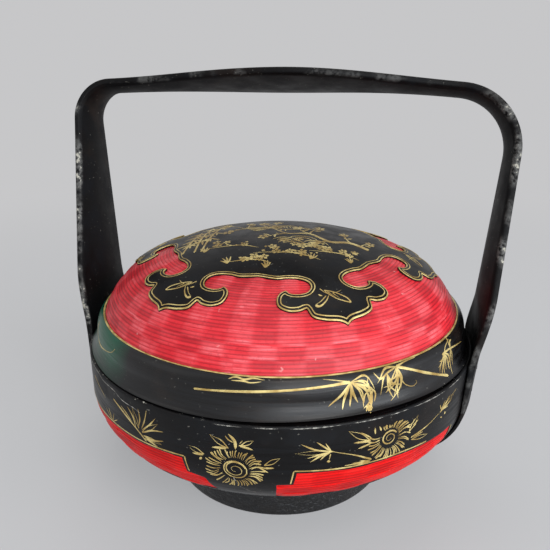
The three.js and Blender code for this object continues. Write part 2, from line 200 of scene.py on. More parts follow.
def make_object(name, vertices, faces, materials, face_slots=None, weld=1e-6, **attributes):
    """A closed, smooth piece from millimetre vertices, with float attributes on its points."""
    mesh = bpy.data.meshes.new(name)
    mesh.from_pydata((np.asarray(vertices) * MM).tolist(), [], [list(map(int, f)) for f in faces])
    for key, values in attributes.items():
        layer = mesh.attributes.new(key, "FLOAT", "POINT")
        layer.data.foreach_set("value", np.asarray(values, np.float32))
    for material in materials:
        mesh.materials.append(material)
    if face_slots is not None:
        mesh.polygons.foreach_set("material_index", np.asarray(face_slots, np.int32))
    bm = bmesh.new()
    bm.from_mesh(mesh)
    bmesh.ops.remove_doubles(bm, verts=bm.verts, dist=weld)
    bmesh.ops.dissolve_degenerate(bm, edges=bm.edges, dist=1e-8)
    bmesh.ops.recalc_face_normals(bm, faces=bm.faces)
    for face in bm.faces:
        face.smooth = True
    bm.to_mesh(mesh)
    bm.free()
    mesh.set_sharp_from_angle(angle=SHARP_CORNER)
    piece = bpy.data.objects.new(name, mesh)
    bpy.context.scene.collection.objects.link(piece)
    return piece


def ring_faces(rows, segments, looped, first=0):
    starts = np.arange(rows if looped else rows - 1)
    i, k = np.meshgrid(starts, np.arange(segments), indexing="ij")
    j, m = (i + 1) % rows, (k + 1) % segments
    corners = [i * segments + k, i * segments + m, j * segments + m, j * segments + k]
    return np.stack(corners, -1).reshape(-1, 4) + first


def turned_grid(outline, segments, lift=None, start=0.0):
    """Vertices of an outline turned about Z, with turn and lift arrays of one row per point."""
    outline = np.asarray(outline, float)
    turns = start + np.arange(segments) * 360 / segments
    turn = np.broadcast_to(turns, (len(outline), segments))
    rise = np.zeros(turn.shape) if lift is None else lift(turn)
    normals = outward(outline)
    r = outline[:, :1] + normals[:, :1] * rise
    z = outline[:, 1:] + normals[:, 1:] * rise
    angle = np.radians(turn)
    return np.stack([r * np.sin(angle), -r * np.cos(angle), z], -1).reshape(-1, 3)


def turned(name, outline, material, segments, lift, **attributes):
    vertices = turned_grid(outline, segments, lift)
    faces = ring_faces(len(outline), segments, looped=True)
    return make_object(name, vertices, faces, [material], **attributes)


def rounded_section(inner, outer, bottom, top, radius, low_radius):
    """Closed outline of a hoop's section with round edges, from the outer top corner down."""
    corners = [arc((outer - radius, top - radius), radius, 90, 0, 5),
               arc((outer - low_radius, bottom + low_radius), low_radius, 0, -90, 5),
               arc((inner + low_radius, bottom + low_radius), low_radius, -90, -180, 5),
               arc((inner + radius, top - radius), radius, 180, 90, 5)]
    shares = np.linspace(0, 1, 7)[1:-1, None]
    return np.vstack([part for corner, after in zip(corners, corners[1:] + corners[:1])
                      for part in (corner, corner[-1] + (after[0] - corner[-1]) * shares)])


def wobble(turn, seed, amount):
    """Slow unevenness round a hand-bent hoop, between -amount and amount."""
    phase = random.Random(seed)
    total = sum(np.sin(np.radians(turn) * k + phase.uniform(0, 6.28)) / math.sqrt(k)
                for k in range(2, 9))
    return amount * total / 2.6


def weave(turn, s, stakes, lower_edge):
    """Splints woven round upright stakes: how high a point stands on its splint, whether the
    splint runs over a stake there, and the tone of that stretch of it, each from 0 to 1."""
    angle = np.radians(turn)
    sway = 0.25 * np.sin(3 * angle + s / 23) + 0.2 * np.sin(11 * angle + s / 9)
    place = (s + sway) / RIB_PITCH
    row = np.floor(place)
    across = 2 * (place - row) - 1
    ridge = np.sqrt(np.clip(1 - np.abs(across) ** 2.2, 0, 1))
    uneven = 0.8 + 0.2 * np.sin(row * 12.9898 + 4 * np.sin(row * 78.233) + 2 * np.sin(5 * angle))
    courses = np.minimum(np.floor((lower_edge - s + sway) / COURSE), 2)
    lean = 0.5 * np.sin(2 * angle + 1) * (s / 60)
    phase = angle * stakes / 2 + lean + np.pi * courses
    over = 0.5 + 0.5 * np.tanh(2.5 * np.cos(phase))
    stretch = np.floor(phase / np.pi + 0.5 + 0.25 * np.sin(row * 3.1))
    tone = 0.5 + 0.5 * np.sin(row * 45.7 + stretch * 91.3 + 5 * np.sin(row * 7.7 + stretch * 3.9))
    return ridge * uneven * (0.8 + 0.2 * over), over, tone


# Node materials
COLOUR_A, COLOUR_B, COLOUR_OUT = 6, 7, 2     # a Mix node's colour sockets
FIBRE_PITCH = MM * 6 * 2.6                   # how finely the fibres lie side by side on a splint


class Nodes:
    """The shader nodes of a material or of the world, built up by short calls."""

    def __init__(self, tree):
        self.tree = tree

    def put(self, socket, value):
        if isinstance(value, bpy.types.NodeSocket):
            self.tree.links.new(value, socket)
        elif isinstance(value, tuple) and len(value) == 3 and socket.type == "RGBA":
            socket.default_value = (*value, 1)
        else:
            socket.default_value = value

    def node(self, kind, *in_order, **named):
        """A new node, with its inputs set to values or joined to sockets."""
        node = self.tree.nodes.new("ShaderNode" + kind)
        for place, value in enumerate(in_order):
            self.put(node.inputs[place], value)
        for name, value in named.items():
            self.put(node.inputs[name.replace("_", " ")], value)
        return node

    def math(self, operation, a, b):
        node = self.node("Math", a, b)
        node.operation = operation
        return node.outputs["Value"]

    def times(self, a, b):
        return self.math("MULTIPLY", a, b)

    def blend_by_ray(self, own, shown, output, share=1.0):
        """The camera, and mirrors and glass, see more of the shown shader; all else is its own."""
        path = self.node("LightPath").outputs
        passed_on = self.math("MAXIMUM", path["Is Glossy Ray"], path["Is Transmission Ray"])
        seen = self.times(self.math("MAXIMUM", path["Is Camera Ray"], passed_on), share)
        blend = self.node("MixShader", seen, own, shown)
        self.put(self.tree.nodes[output].inputs["Surface"], blend.outputs["Shader"])


class Paint(Nodes):
    """One node material."""

    def __init__(self, name, **values):
        self.material = bpy.data.materials.new(name)
        self.material.use_nodes = True
        super().__init__(self.material.node_tree)
        self.shader = self.tree.nodes["Principled BSDF"]
        self.wear(**values)
        self.where = self.node("TexCoord").outputs["Object"]

    def wear(self, **values):
        for key, value in values.items():
            self.put(self.shader.inputs[key.replace("_", " ")], value)
        return self.material

    def noise(self, scale, detail, roughness=0.5, stretch=(1, 1, 1)):
        place = self.node("Mapping", Vector=self.where, Scale=stretch).outputs["Vector"]
        return self.node("TexNoise", Vector=place, Scale=scale, Detail=detail,
                         Roughness=roughness).outputs["Fac"]

    def fibre(self):
        """Noise drawn out along the woven splints, which lie level round the basket."""
        level = self.node("SeparateXYZ", self.where).outputs
        across = self.times(self.attribute("along"), FIBRE_PITCH)
        place = self.node("CombineXYZ", level["X"], level["Y"], across).outputs["Vector"]
        return self.node("TexNoise", Vector=place, Scale=60, Detail=4,
                         Roughness=0.65).outputs["Fac"]

    def attribute(self, name):
        node = self.node("Attribute")
        node.attribute_name = name
        return node.outputs["Fac"]

    def span(self, value, low, high, to_low=0.0, to_high=1.0):
        """A smooth step of a value, from low and high to two other numbers."""
        node = self.node("MapRange", Value=value, From_Min=low, From_Max=high, To_Min=to_low,
                         To_Max=to_high)
        node.interpolation_type = "SMOOTHSTEP"
        return node.outputs["Result"]

    def mix(self, factor, a, b):
        node = self.node("Mix", factor)
        node.data_type = "RGBA"
        self.put(node.inputs[COLOUR_A], a)
        self.put(node.inputs[COLOUR_B], b)
        return node.outputs[COLOUR_OUT]

    def bump(self, height, distance, strength, **under):
        node = self.node("Bump", Height=height, Distance=distance, Strength=strength, **under)
        return node.outputs["Normal"]


def srgb(*colour):
    """Linear colour of an sRGB triple written as 0 to 255."""
    return tuple((c / 255 / 12.92) if c < 10.3 else ((c / 255 + 0.055) / 1.055) ** 2.4
                 for c in colour)


BLACK = srgb(9, 8, 9)
BLACK_BROWN = srgb(27, 20, 17)
BLACK_BLUE = srgb(14, 15, 18)
BARE = srgb(176, 172, 160)
SCUFFED = srgb(94, 93, 91)
DULL = (0.8, 0.8, 0.8)           # roughness of bare ground
RED = srgb(224, 34, 46)
# The deep reds paint shade into the weave's grooves, and also give its darker random tone and
# speckle.
RED_DEEP = srgb(128, 12, 22)
LID_RED_DEEP = srgb(156, 20, 32)
RED_RUBBED = srgb(236, 122, 128)
RED_SPECK = srgb(226, 160, 158)
PANEL_RED = srgb(230, 10, 12)
PANEL_RED_DEEP = srgb(160, 6, 8)
PANEL_RED_RUBBED = srgb(244, 66, 58)
GREEN = srgb(0, 74, 50)
GOLD = srgb(222, 200, 132)
GOLD_DARK = srgb(168, 138, 74)
DIRT = srgb(70, 68, 66)
CHIPPED_AND_LIP_HIGHLIGHT = srgb(186, 182, 172)

LEVEL_GRAIN = (14, 14, 330)      # stretched round the basket, so brush lines lie level
EVEN_GRAIN = (40, 40, 40)


def black_lacquer(name, grain=LEVEL_GRAIN, chips=0.0, green=False, roughness=(0.26, 0.5), gloss=0.2,
                  lumps=0.35, depth=0.0004, scuffed=False):
    """Thick black lacquer: brush lines, dull and shiny clouds, brown thin places, chipped edges."""
    paint = Paint(name, Specular_IOR_Level=gloss)
    clouds = paint.noise(22, 5, 0.6)
    brush = paint.noise(1, 4, 0.6, grain)
    dust = paint.times(paint.span(paint.noise(420, 2), 0.70, 0.76), 0.25)
    colour = paint.mix(paint.span(clouds, 0.52, 0.72), BLACK, BLACK_BROWN)
    colour = paint.mix(paint.span(brush, 0.45, 0.7), colour, BLACK_BLUE)
    colour = paint.mix(dust, colour, BARE)
    if green:
        patch = paint.times(paint.attribute("green"), paint.span(clouds, 0.2, 0.5, 0.8, 1))
        colour = paint.mix(patch, colour, GREEN)
    rough = paint.span(brush, 0.3, 0.75, *roughness)
    height = paint.math("ADD", paint.times(brush, 0.6), paint.times(clouds, 0.5))
    normal = paint.bump(height, depth, lumps)
    if chips:
        bitten = paint.noise(260, 4, 0.65)
        blotch = paint.span(paint.noise(38, 3), 0.4, 0.62, 0.35, 1)
        edge = paint.times(paint.attribute("edge"), blotch)
        chip = paint.span(paint.math("ADD", bitten, paint.times(edge, chips)), 0.86, 0.93)
        if scuffed:
            rubbing = paint.times(paint.span(edge, 0.3, 0.9), paint.span(bitten, 0.36, 0.56))
            colour = paint.mix(rubbing, colour, SCUFFED)
        colour = paint.mix(chip, colour, BARE)
        rough = paint.mix(chip, rough, DULL)
        normal = paint.bump(paint.math("SUBTRACT", 1.0, chip), 0.0003, 0.6, Normal=normal)
    return paint.wear(Base_Color=colour, Roughness=rough, Normal=normal)


def red_weave(name, deep, middle, rubbed, rub, roughness=(0.36, 0.58), gloss=0.25):
    """Red paint over woven splints: painted shade deep in the grooves, rubbed pale on backs and
    over stakes.
    """
    paint = Paint(name, Specular_IOR_Level=gloss)
    relief = paint.attribute("relief")
    tone = paint.attribute("tone")
    speckle = paint.noise(420, 3, 0.6)
    fibre = paint.fibre()
    # Painted shade: where the weave's relief is low, in the grooves between splints and where
    # splints pass under stakes, the red is drawn deep.
    colour = paint.mix(paint.span(relief, 0.22, 0.74), deep, middle)
    colour = paint.mix(paint.times(paint.span(tone, 0.35, 0.0), 0.2), colour, deep)
    backs = paint.times(paint.span(relief, 0.45, 0.95), paint.span(fibre, 0.36, 0.62))
    ground = paint.times(paint.span(paint.noise(17, 4, 0.55), 0.34, 0.62, 0.3, 1),
                         paint.span(paint.attribute("cross"), 0, 1, 0.38, 1))
    worn = paint.times(paint.math("ADD", paint.times(backs, 0.7), 0.3), ground)
    worn = paint.times(worn, paint.span(tone, 0, 1, 0.6, 1))
    colour = paint.mix(paint.times(worn, rub), colour, rubbed)
    colour = paint.mix(paint.times(paint.span(speckle, 0.5, 0.72), 0.3), colour, deep)
    specks = paint.span(paint.noise(150, 2), 0.73, 0.79)
    colour = paint.mix(paint.times(specks, 0.6), colour, RED_SPECK)
    grain = paint.math("ADD", fibre, paint.times(speckle, 0.5))
    return paint.wear(Base_Color=colour, Roughness=paint.span(fibre, 0.3, 0.7, *roughness),
                      Normal=paint.bump(grain, 0.0004, 0.35))


def gold_paint():
    paint = Paint("gold_paint", Metallic=0.35)
    grain = paint.noise(900, 2)
    colour = paint.mix(paint.span(paint.noise(90, 4, 0.6), 0.38, 0.66), GOLD_DARK, GOLD)
    return paint.wear(Base_Color=colour, Roughness=paint.span(grain, 0.3, 0.7, 0.34, 0.55),
                      Normal=paint.bump(grain, 0.0001, 0.4))


def bare_edges_and_lip_highlight():
    """Chipped lacquer, grey where its ground shows and darker where dirt has settled. It also
    colours the painted highlight along the rim's lip.
    """
    paint = Paint("chipped_lacquer_and_lip_highlight", Specular_IOR_Level=0.3)
    dirt = paint.noise(340, 4, 0.65)
    colour = paint.mix(paint.span(dirt, 0.4, 0.64), DIRT, CHIPPED_AND_LIP_HIGHLIGHT)
    return paint.wear(Base_Color=colour, Roughness=paint.span(dirt, 0.3, 0.7, 0.4, 0.75),
                      Normal=paint.bump(dirt, 0.0002, 0.5))


lacquer = black_lacquer("black_lacquer")
collar_lacquer = black_lacquer("collar_lacquer", (60, 60, 60), roughness=(0.3, 0.48), gloss=0.15)
band_lacquer = black_lacquer("band_lacquer", green=True, roughness=(0.24, 0.46), gloss=0.42,
                             lumps=0.8)
worn_lacquer = black_lacquer("worn_black_lacquer", EVEN_GRAIN, chips=0.3, roughness=(0.38, 0.6))
strap_lacquer = black_lacquer("strap_lacquer", EVEN_GRAIN, chips=0.32, roughness=(0.46, 0.68),
                              gloss=0.12, scuffed=True)
foot_lacquer = black_lacquer("foot_lacquer", (150, 150, 260), chips=0.2, roughness=(0.14, 0.36),
                             gloss=0.5, lumps=1.0, depth=0.003)
lid_red = red_weave("lid_red", LID_RED_DEEP, RED, RED_RUBBED, 0.95)
panel_red = red_weave("panel_red", PANEL_RED_DEEP, PANEL_RED, PANEL_RED_RUBBED, 0.4, gloss=0.12)
inside_red = red_weave("inside_red", RED_DEEP, RED, RED_RUBBED, 0.25, roughness=(0.5, 0.7))
gold = gold_paint()
bare = bare_edges_and_lip_highlight()


# Filled outlines
def smooth(points, step=0.8, closed=False):
    """Even points on a Catmull-Rom curve through the given points."""
    p = np.array(points, float)
    ends = (p[-1:], p[:2]) if closed else (2 * p[:1] - p[1:2], 2 * p[-1:] - p[-2:-1])
    run = np.vstack([ends[0], p, ends[1]])
    out = []
    for a, b, c, d in zip(run, run[1:], run[2:], run[3:]):
        count = max(2, int(np.linalg.norm(c - b) / step) + 1)
        t = np.linspace(0, 1, count, endpoint=False)[:, None]
        out.append(0.5 * (2 * b + (c - a) * t + (2 * a - 5 * b + 4 * c - d) * t ** 2
                          + (3 * b - a - 3 * c + d) * t ** 3))
    if not closed:
        out.append(p[-1:])
    return np.vstack(out)


def inside(points, loop):
    """Which points lie in a closed loop."""
    x, y = points[:, 0], points[:, 1]
    found = np.zeros(len(points), bool)
    for (x0, y0), (x1, y1) in zip(loop, np.roll(loop, -1, axis=0)):
        if y0 == y1:
            continue
        crossing = (y0 > y) != (y1 > y)
        found ^= crossing & (x < (x1 - x0) * (y - y0) / (y1 - y0) + x0)
    return found


def distance(points, loop):
    """From each point to the nearest place on a closed loop."""
    nearest = np.full(len(points), np.inf)
    for a, b in zip(loop, np.roll(loop, -1, axis=0)):
        side = b - a
        share = np.clip(((points - a) @ side) / (side @ side + 1e-12), 0, 1)
        nearest = np.minimum(nearest, np.linalg.norm(points - a - share[:, None] * side, axis=1))
    return nearest


def offset_loop(loop, inset):
    """Points of a loop moved inwards, without those that come too near another stretch of it."""
    along = np.roll(loop, -1, axis=0) - np.roll(loop, 1, axis=0)
    along /= np.linalg.norm(along, axis=1)[:, None] + 1e-12
    area = np.sum(loop[:, 0] * np.roll(loop[:, 1], -1) - np.roll(loop[:, 0], -1) * loop[:, 1])
    inward = np.column_stack([-along[:, 1], along[:, 0]]) * np.sign(area)
    moved = loop + inward * inset
    return moved[distance(moved, loop) > 0.96 * abs(inset)]


def triangulate(points, loops):
    """Triangles over points. Each loop is a closed run of point indices whose edges are kept."""
    edges = [pair for loop in loops for pair in zip(loop, loop[1:] + loop[:1])]
    vertices, _, faces, _, _, _ = delaunay_2d_cdt([Vector(p) for p in points], edges, [], 0, 1e-5)
    return np.array([v[:] for v in vertices]), np.array([f[:3] for f in faces])


def rounded(d, width):
    """Height share of a paint layer at a distance d from its edge."""
    t = np.clip(d / width, 0, 1)
    return np.sqrt(np.clip(1 - (1 - t) ** 2, 0, 1))


# Bowl: woven shell, black ground outside with four sunk red panels, and its hoops
# Each panel as [turn, height under the rim], from its stepped end; the back repeats the front
RIGHT_PANEL = [(13.0, -34.6), (25, -35.6), (39, -35.2), (48, -36.2), (60, -37.4), (60.4, -62),
               (8.2, -64), (8.4, -45.6), (12.3, -45.0)]
LEFT_PANEL = [(-14.3, -32.6), (-26, -33.8), (-40, -34.2), (-63, -36.4), (-63, -62), (-6.8, -60),
              (-9.0, -46.4), (-13.5, -43.8)]
# Each panel with the side that its stepped end is on, -1 for the left, and its half turn
PANELS = ((RIGHT_PANEL, 1, 0), (LEFT_PANEL, -1, 0), (RIGHT_PANEL, 1, 180), (LEFT_PANEL, -1, 180))


def panel_loops():
    """The panels' outlines in [millimetres round the rim, s], one for each quarter."""
    loops = []
    for panel, _, half_turn in PANELS:
        corners = []
        for turn, height in panel:
            round_turn = (turn + half_turn + 180) % 360 - 180
            s = bowl_skin.s_at_height(RIM_Z + height)
            corners.append(np.array([math.radians(round_turn) * RIM_RADIUS, s]))
        dense = []
        for a, b in zip(corners, corners[1:] + corners[:1]):
            count = max(1, int(np.linalg.norm(b - a) / 1.5))
            dense += [a + (b - a) * i / count for i in range(count)]
        loops.append(np.array(dense))
    return loops


PANEL_FOOT_S = bowl_skin.s_at_height(RIM_Z - 64)
BOWL_ROWS = 52


def in_any(points, loops):
    return np.logical_or.reduce([inside(points, loop) for loop in loops])


def to_nearest(points, loops):
    return np.min([distance(points, loop) for loop in loops], axis=0)


def bowl_outside(loops):
    """Points and triangles in [millimetres round the rim, s], finer inside the panels."""
    width = 2 * math.pi * RIM_RADIUS
    bottom = bowl_skin.s[-1]
    across = np.linspace(-width / 2, width / 2, BOWL_SEGMENTS + 1)
    down = np.linspace(0, bottom, BOWL_ROWS)
    border = [(u, s) for s in (0, bottom) for u in across] \
        + [(u, s) for u in (across[0], across[-1]) for s in down[1:-1]]
    coarse = np.array([(u + (width / BOWL_SEGMENTS / 2 if j % 2 else 0), s)
                       for j, s in enumerate(down[1:-1], 1) for u in across[1:-1]])
    coarse = coarse[~in_any(coarse, loops) & (to_nearest(coarse, loops) > 1.6)]
    fine = np.array([(u, s) for s in np.arange(0, bottom, RIB_PITCH / 6)
                     for u in np.arange(-width / 2, width / 2, 1.6)])
    fine = fine[in_any(fine, loops)]
    points = [np.array(border), coarse, fine[to_nearest(fine, loops) > 0.3]]
    points += [offset_loop(loop, inset) for loop in loops for inset in (-0.3, -0.8, -1.5)]
    start = sum(map(len, points))
    chains = []
    for loop in loops:
        chains.append(list(range(start, start + len(loop))))
        start += len(loop)
    return triangulate(np.vstack(points + loops), chains)


def bowl():
    bottom = bowl_skin.s[-1]
    loops = panel_loops()
    flat, faces = bowl_outside(loops)
    red = in_any(flat[faces].mean(axis=1), loops)
    near = to_nearest(flat, loops)
    sunk = in_any(flat, loops) | (near < 1e-3)
    turn = ART_TURN + np.degrees(flat[:, 0] / RIM_RADIUS)
    relief, cross, tone = weave(turn - ART_TURN, flat[:, 1], BOWL_STAKES, PANEL_FOOT_S)
    woven = RIB_RELIEF * relief + WEAVE_RELIEF * cross
    lift = np.where(sunk, woven - 0.2, LACQUER_LIFT * rounded(near, 1.2) + 0.1 * woven)
    lift[(flat[:, 1] < 1e-6) | (flat[:, 1] > bottom - 1e-6)] = LACQUER_LIFT
    outer = bowl_skin.place(turn, flat[:, 1], lift)

    # The lining, rim and floor close the shell
    top_r, top_z = bowl_skin.outline_at(0, LACQUER_LIFT)
    low_r, low_z = bowl_skin.outline_at(bottom, LACQUER_LIFT)
    rim_wall = RIM_RADIUS - RIM_HOOP_THICKNESS - GAP
    rest = bowl_outline(-BOWL_WALL, SHELL_TOP - 4, FOOT_HEIGHT + GAP + BOWL_WALL)
    steps = Skin(rest)
    lining_s = np.arange(0, steps.s[-1], RIB_PITCH / 3)
    lining = np.column_stack(steps.outline_at(lining_s))
    floor_r = np.arange(rest[-1, 0], 0, -RIB_PITCH / 3)
    floor = np.column_stack([floor_r, np.full(len(floor_r), rest[-1, 1])])
    upper = [[top_r, top_z], [rim_wall, top_z], [rim_wall, RIM_Z], [rim_wall - BOWL_WALL, RIM_Z],
             [rim_wall - BOWL_WALL, SHELL_TOP - 2]]
    inner_line = np.vstack([upper, lining, floor, [[0, rest[-1, 1]]]])
    inner_s = np.concatenate([np.zeros(len(upper)), lining_s,
                              lining_s[-1] + (floor_r[0] - floor_r), [0]])
    turns = ART_TURN - 180 + np.arange(BOWL_SEGMENTS) * 360 / BOWL_SEGMENTS
    ridge, over, inner_tone = weave(np.broadcast_to(turns, (len(inner_s), BOWL_SEGMENTS)),
                                    inner_s[:, None], BOWL_STAKES, inner_s[-2])
    ridge[:len(upper)], over[:len(upper)], ridge[-1], over[-1] = 0.6, 0.5, 0, 0
    bulge = -0.4 * ridge - 0.2 * over
    bulge[:len(upper)] = 0
    inner = turned_grid(inner_line, BOWL_SEGMENTS, lambda _: bulge, start=ART_TURN - 180)
    under_line = [(low_r * share, low_z) for share in (1, 0.66, 0.33, 0)]
    under = turned_grid(under_line, BOWL_SEGMENTS, start=ART_TURN - 180)

    inner_faces = ring_faces(len(inner_line), BOWL_SEGMENTS, False, len(outer))
    under_faces = ring_faces(len(under_line), BOWL_SEGMENTS, False, len(outer) + len(inner))
    slots = np.concatenate([np.where(red, 1, 0), np.full(len(inner_faces), 2),
                            np.zeros(len(under_faces))])
    slots[len(faces):len(faces) + (len(upper) - 1) * BOWL_SEGMENTS] = 0
    along = np.repeat(inner_s, BOWL_SEGMENTS)
    both_sides = (("relief", relief, ridge), ("cross", cross, over), ("tone", tone, inner_tone),
                  ("along", flat[:, 1], along))
    values = {name: np.concatenate([outside, lined.ravel(), np.zeros(len(under))])
              for name, outside, lined in both_sides}
    piece = make_object("bowl_shell_woven", np.vstack([outer, inner, under]),
                        [*faces, *inner_faces, *under_faces], [lacquer, panel_red, inside_red],
                        slots, weld=5e-6, **values)
    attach(piece, "basket")
    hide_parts("bowl_shell")


def hoops():
    """Bent hoops with round edges, each a little uneven, as strips bent by hand are."""
    inner_wall = RIM_RADIUS - RIM_HOOP_THICKNESS - GAP - BOWL_WALL
    seat = LID_RADIUS + LID_CLEARANCE
    lining = FOOT_RADIUS - FOOT_THICKNESS - GAP
    skirt_inside = LID_RADIUS - LID_WALL - GAP
    # Each section as inner and outer radius, bottom, top, radius of its upper and lower edges
    for name, node, body, slot, material, amount, section in (
        ("rim_hoop", "bowl_rim_hoop", "basket", "black_lacquer", worn_lacquer, 0.0,
         (RIM_RADIUS - RIM_HOOP_THICKNESS, RIM_RADIUS - 0.3, SHELL_TOP, RIM_Z, 1.3, 0.1)),
        ("inner_hoop", "bowl_inner_hoop", "basket", "black_lacquer", lacquer, 0.1,
         (seat, inner_wall - GAP, RIM_Z - INNER_HOOP_HEIGHT, RIM_Z, 1.2, 1.2)),
        ("foot_hoop", "foot_ring", "basket", "worn_black_lacquer", foot_lacquer, 0.25,
         (FOOT_RADIUS - FOOT_THICKNESS, FOOT_RADIUS - 0.3, 0, FOOT_HEIGHT, 0.6, 1.6)),
        ("foot_lining", "foot_inner_hoop", "basket", "worn_black_lacquer", worn_lacquer, 0.1,
         (lining - 3.5, lining, 3, FOOT_HEIGHT, 1.2, 1.2)),
        ("lid_lining", "lid_inner_hoop", "lid", "black_lacquer", lacquer, 0.1,
         (skirt_inside - 3, skirt_inside, SKIRT_BOTTOM, SKIRT_BOTTOM + 20, 1.1, 1.1)),
    ):
        outline = rounded_section(*section)
        inner, outer, bottom, top, radius, _ = section
        from_edge = np.minimum(outline[:, 1] - bottom, top - outline[:, 1])
        outside = outline[:, 0] > (inner + outer) / 2
        edge = np.where(outside, 1, 0.3) * np.exp(-from_edge / 1.5)
        flat_end = (from_edge > radius * 0.2)[:, None]
        piece = turned(name, outline, material, HOOP_SEGMENTS,
                       lift=lambda turn: (wobble(turn, name, amount) - amount) * flat_end,
                       edge=np.repeat(edge, HOOP_SEGMENTS))
        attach(piece, body)
        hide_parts(node)


# Lid: woven dome, black band and cloud collar
def lid_dome():
    bare_rows = 12     # under the collar, without a weave
    outer_s = np.concatenate([np.linspace(0, 66, bare_rows),
                              np.arange(68, dome_skin.s[-1], RIB_PITCH / 6), [dome_skin.s[-1]]])
    outer = np.column_stack(dome_skin.outline_at(outer_s))
    wall = np.array([[LID_RADIUS, z] for z in (GOLD_LINE_Z - 4, SKIRT_BOTTOM + 0.6)])
    skirt = LID_RADIUS - LID_WALL
    inside_line = dome_outline(-LID_WALL)[::-1]
    inside_line = inside_line[inside_line[:, 0] < skirt]
    lower = np.array([[LID_RADIUS - 0.6, SKIRT_BOTTOM], [skirt + 0.6, SKIRT_BOTTOM],
                      [skirt, SKIRT_BOTTOM + 0.6]])
    inner_skin = Skin(inside_line)
    inner_s = np.arange(0, inner_skin.s[-1], RIB_PITCH / 2)
    inner = np.vstack([np.column_stack(inner_skin.outline_at(inner_s)), inside_line[-1:]])
    inner[-1, 0] = 0
    outline = np.vstack([outer, wall, lower, inner])
    s = np.concatenate([outer_s, np.zeros(5), inner_s, [0]])
    turns = np.arange(DOME_SEGMENTS) * 360 / DOME_SEGMENTS - ART_TURN
    turns = np.broadcast_to(turns, (len(outline), DOME_SEGMENTS))
    ridge, over, tone = weave(turns, s[:, None], LID_STAKES, outer_s[-1])
    quiet = np.ones(len(outline))
    quiet[:bare_rows] = 0
    quiet[len(outer):len(outer) + 5] = 0
    quiet[-1] = 0
    ridge, over = ridge * quiet[:, None], over * quiet[:, None]
    bulge = (RIB_RELIEF * (ridge - 1) + WEAVE_RELIEF * (over - 1)) * quiet[:, None]
    vertices = turned_grid(outline, DOME_SEGMENTS, lambda _: bulge)
    faces = ring_faces(len(outline), DOME_SEGMENTS, looped=False)
    slots = np.zeros(len(faces))
    slots[(len(outer) + 4) * DOME_SEGMENTS:] = 1
    piece = make_object("lid_dome_woven", vertices, faces, [lid_red, inside_red], slots,
                        relief=ridge.ravel(), cross=over.ravel(), tone=tone.ravel(),
                        along=np.repeat(s, DOME_SEGMENTS))
    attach(piece, "lid")
    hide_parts("lid_dome")


def band_warp(turn, z):
    """The lid has warped a little: this far the foot of its band stands off the rim in front."""
    turn = (turn + 180) % 360 - 180
    lifted = 2.9 * np.exp(-((turn - 31) / 27) ** 2) + 0.5 * np.exp(-((turn + 150) / 25) ** 2)
    return lifted * np.clip(1 - (z - BAND_BOTTOM) / 9, 0, 1) ** 1.5


def lid_band():
    outer = band_skin.points[:-1]
    inner = BAND_RADIUS - BAND_BULGE
    foot = arc((BAND_FOOT_RADIUS - 1.1, BAND_BOTTOM + 1.1), 1.1, 0, -90, 6)
    rest = np.array([[inner + 0.5, BAND_BOTTOM], [inner, BAND_BOTTOM + 0.5],
                     [inner, GOLD_LINE_Z - 0.4]])
    outline = np.vstack([outer[outer[:, 1] > BAND_BOTTOM + 1.2], foot, rest])
    outline[0] = (inner + 0.3, GOLD_LINE_Z)

    def uneven(turn):
        rows = (outline[:, 0] > inner + 1)[:, None]
        return band_wobble(turn) * rows

    vertices = turned_grid(outline, BAND_SEGMENTS, uneven)
    turn = np.degrees(np.arctan2(vertices[:, 0], -vertices[:, 1])) - ART_TURN
    vertices[:, 2] += band_warp(turn, vertices[:, 2])
    green = np.clip((-34 - turn) / 9, 0, 1) * np.clip((turn + 104) / 14, 0, 1)
    fade = np.clip((vertices[:, 2] - BAND_BOTTOM) / 14, 0.25, 1)
    piece = make_object("lid_band_bent", vertices, ring_faces(len(outline), BAND_SEGMENTS, True),
                        [band_lacquer], green=green * fade)
    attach(piece, "lid")
    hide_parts("lid_band")


# Half a lobe of the cloud collar as [degrees from its middle, inset from the gold line in plan]
LOBES = 6
LOBE_TIP = [(0, 16.5), (2, 19), (6.5, 20.5), (10, 23), (11.5, 29)]
LOBE_BULGE = [(11.5, 29), (14, 27.2), (17.5, 27.2), (20.5, 30.5), (21.3, 36.5), (20.3, 42.5),
              (17.7, 46.2)]
RED_CURL = [(17.7, 46.2), (16.2, 42.7), (13, 41.7), (9.9, 43.4), (7.9, 48.5), (8.3, 54),
            (11.5, 57.8), (16.5, 59), (22, 58.3), (30, 60.5)]


def collar_point(turn, inset):
    """Plan point of the collar; turn is from the front towards +X."""
    r = LID_RADIUS - inset
    return r * math.sin(math.radians(turn)), -r * math.cos(math.radians(turn))


def collar_loop():
    step = 0.9
    loop = []
    for k in range(LOBES):
        middle = COLLAR_TURN + (k + 0.5) * 360 / LOBES
        right = [smooth([collar_point(middle + t, inset) for t, inset in run], step)[:-1]
                 for run in (LOBE_TIP, LOBE_BULGE, RED_CURL)]
        left = [smooth([collar_point(middle - t, inset) for t, inset in run], step)[:0:-1]
                for run in (RED_CURL, LOBE_BULGE, LOBE_TIP)]
        loop += left + right
    return np.vstack(loop)


COLLAR_LOOP = collar_loop()


def on_dome(points, lift):
    """Plan points set on the dome, lifted off it."""
    points = np.asarray(points, float)
    r = np.linalg.norm(points, axis=1)
    s = np.interp(r, dome_skin.points[:, 0], dome_skin.s)
    return dome_skin.place(np.degrees(np.arctan2(points[:, 0], -points[:, 1])), s, lift)


def collar_height(flat, near):
    """How far the collar's lacquer stands off the dome, at points this near its edge."""
    uneven = 0.12 * np.sin(flat[:, 0] / 9) * np.sin(flat[:, 1] / 11) - 0.1
    return (COLLAR_THICKNESS + uneven * (near > 1)) * rounded(near, 1.5)


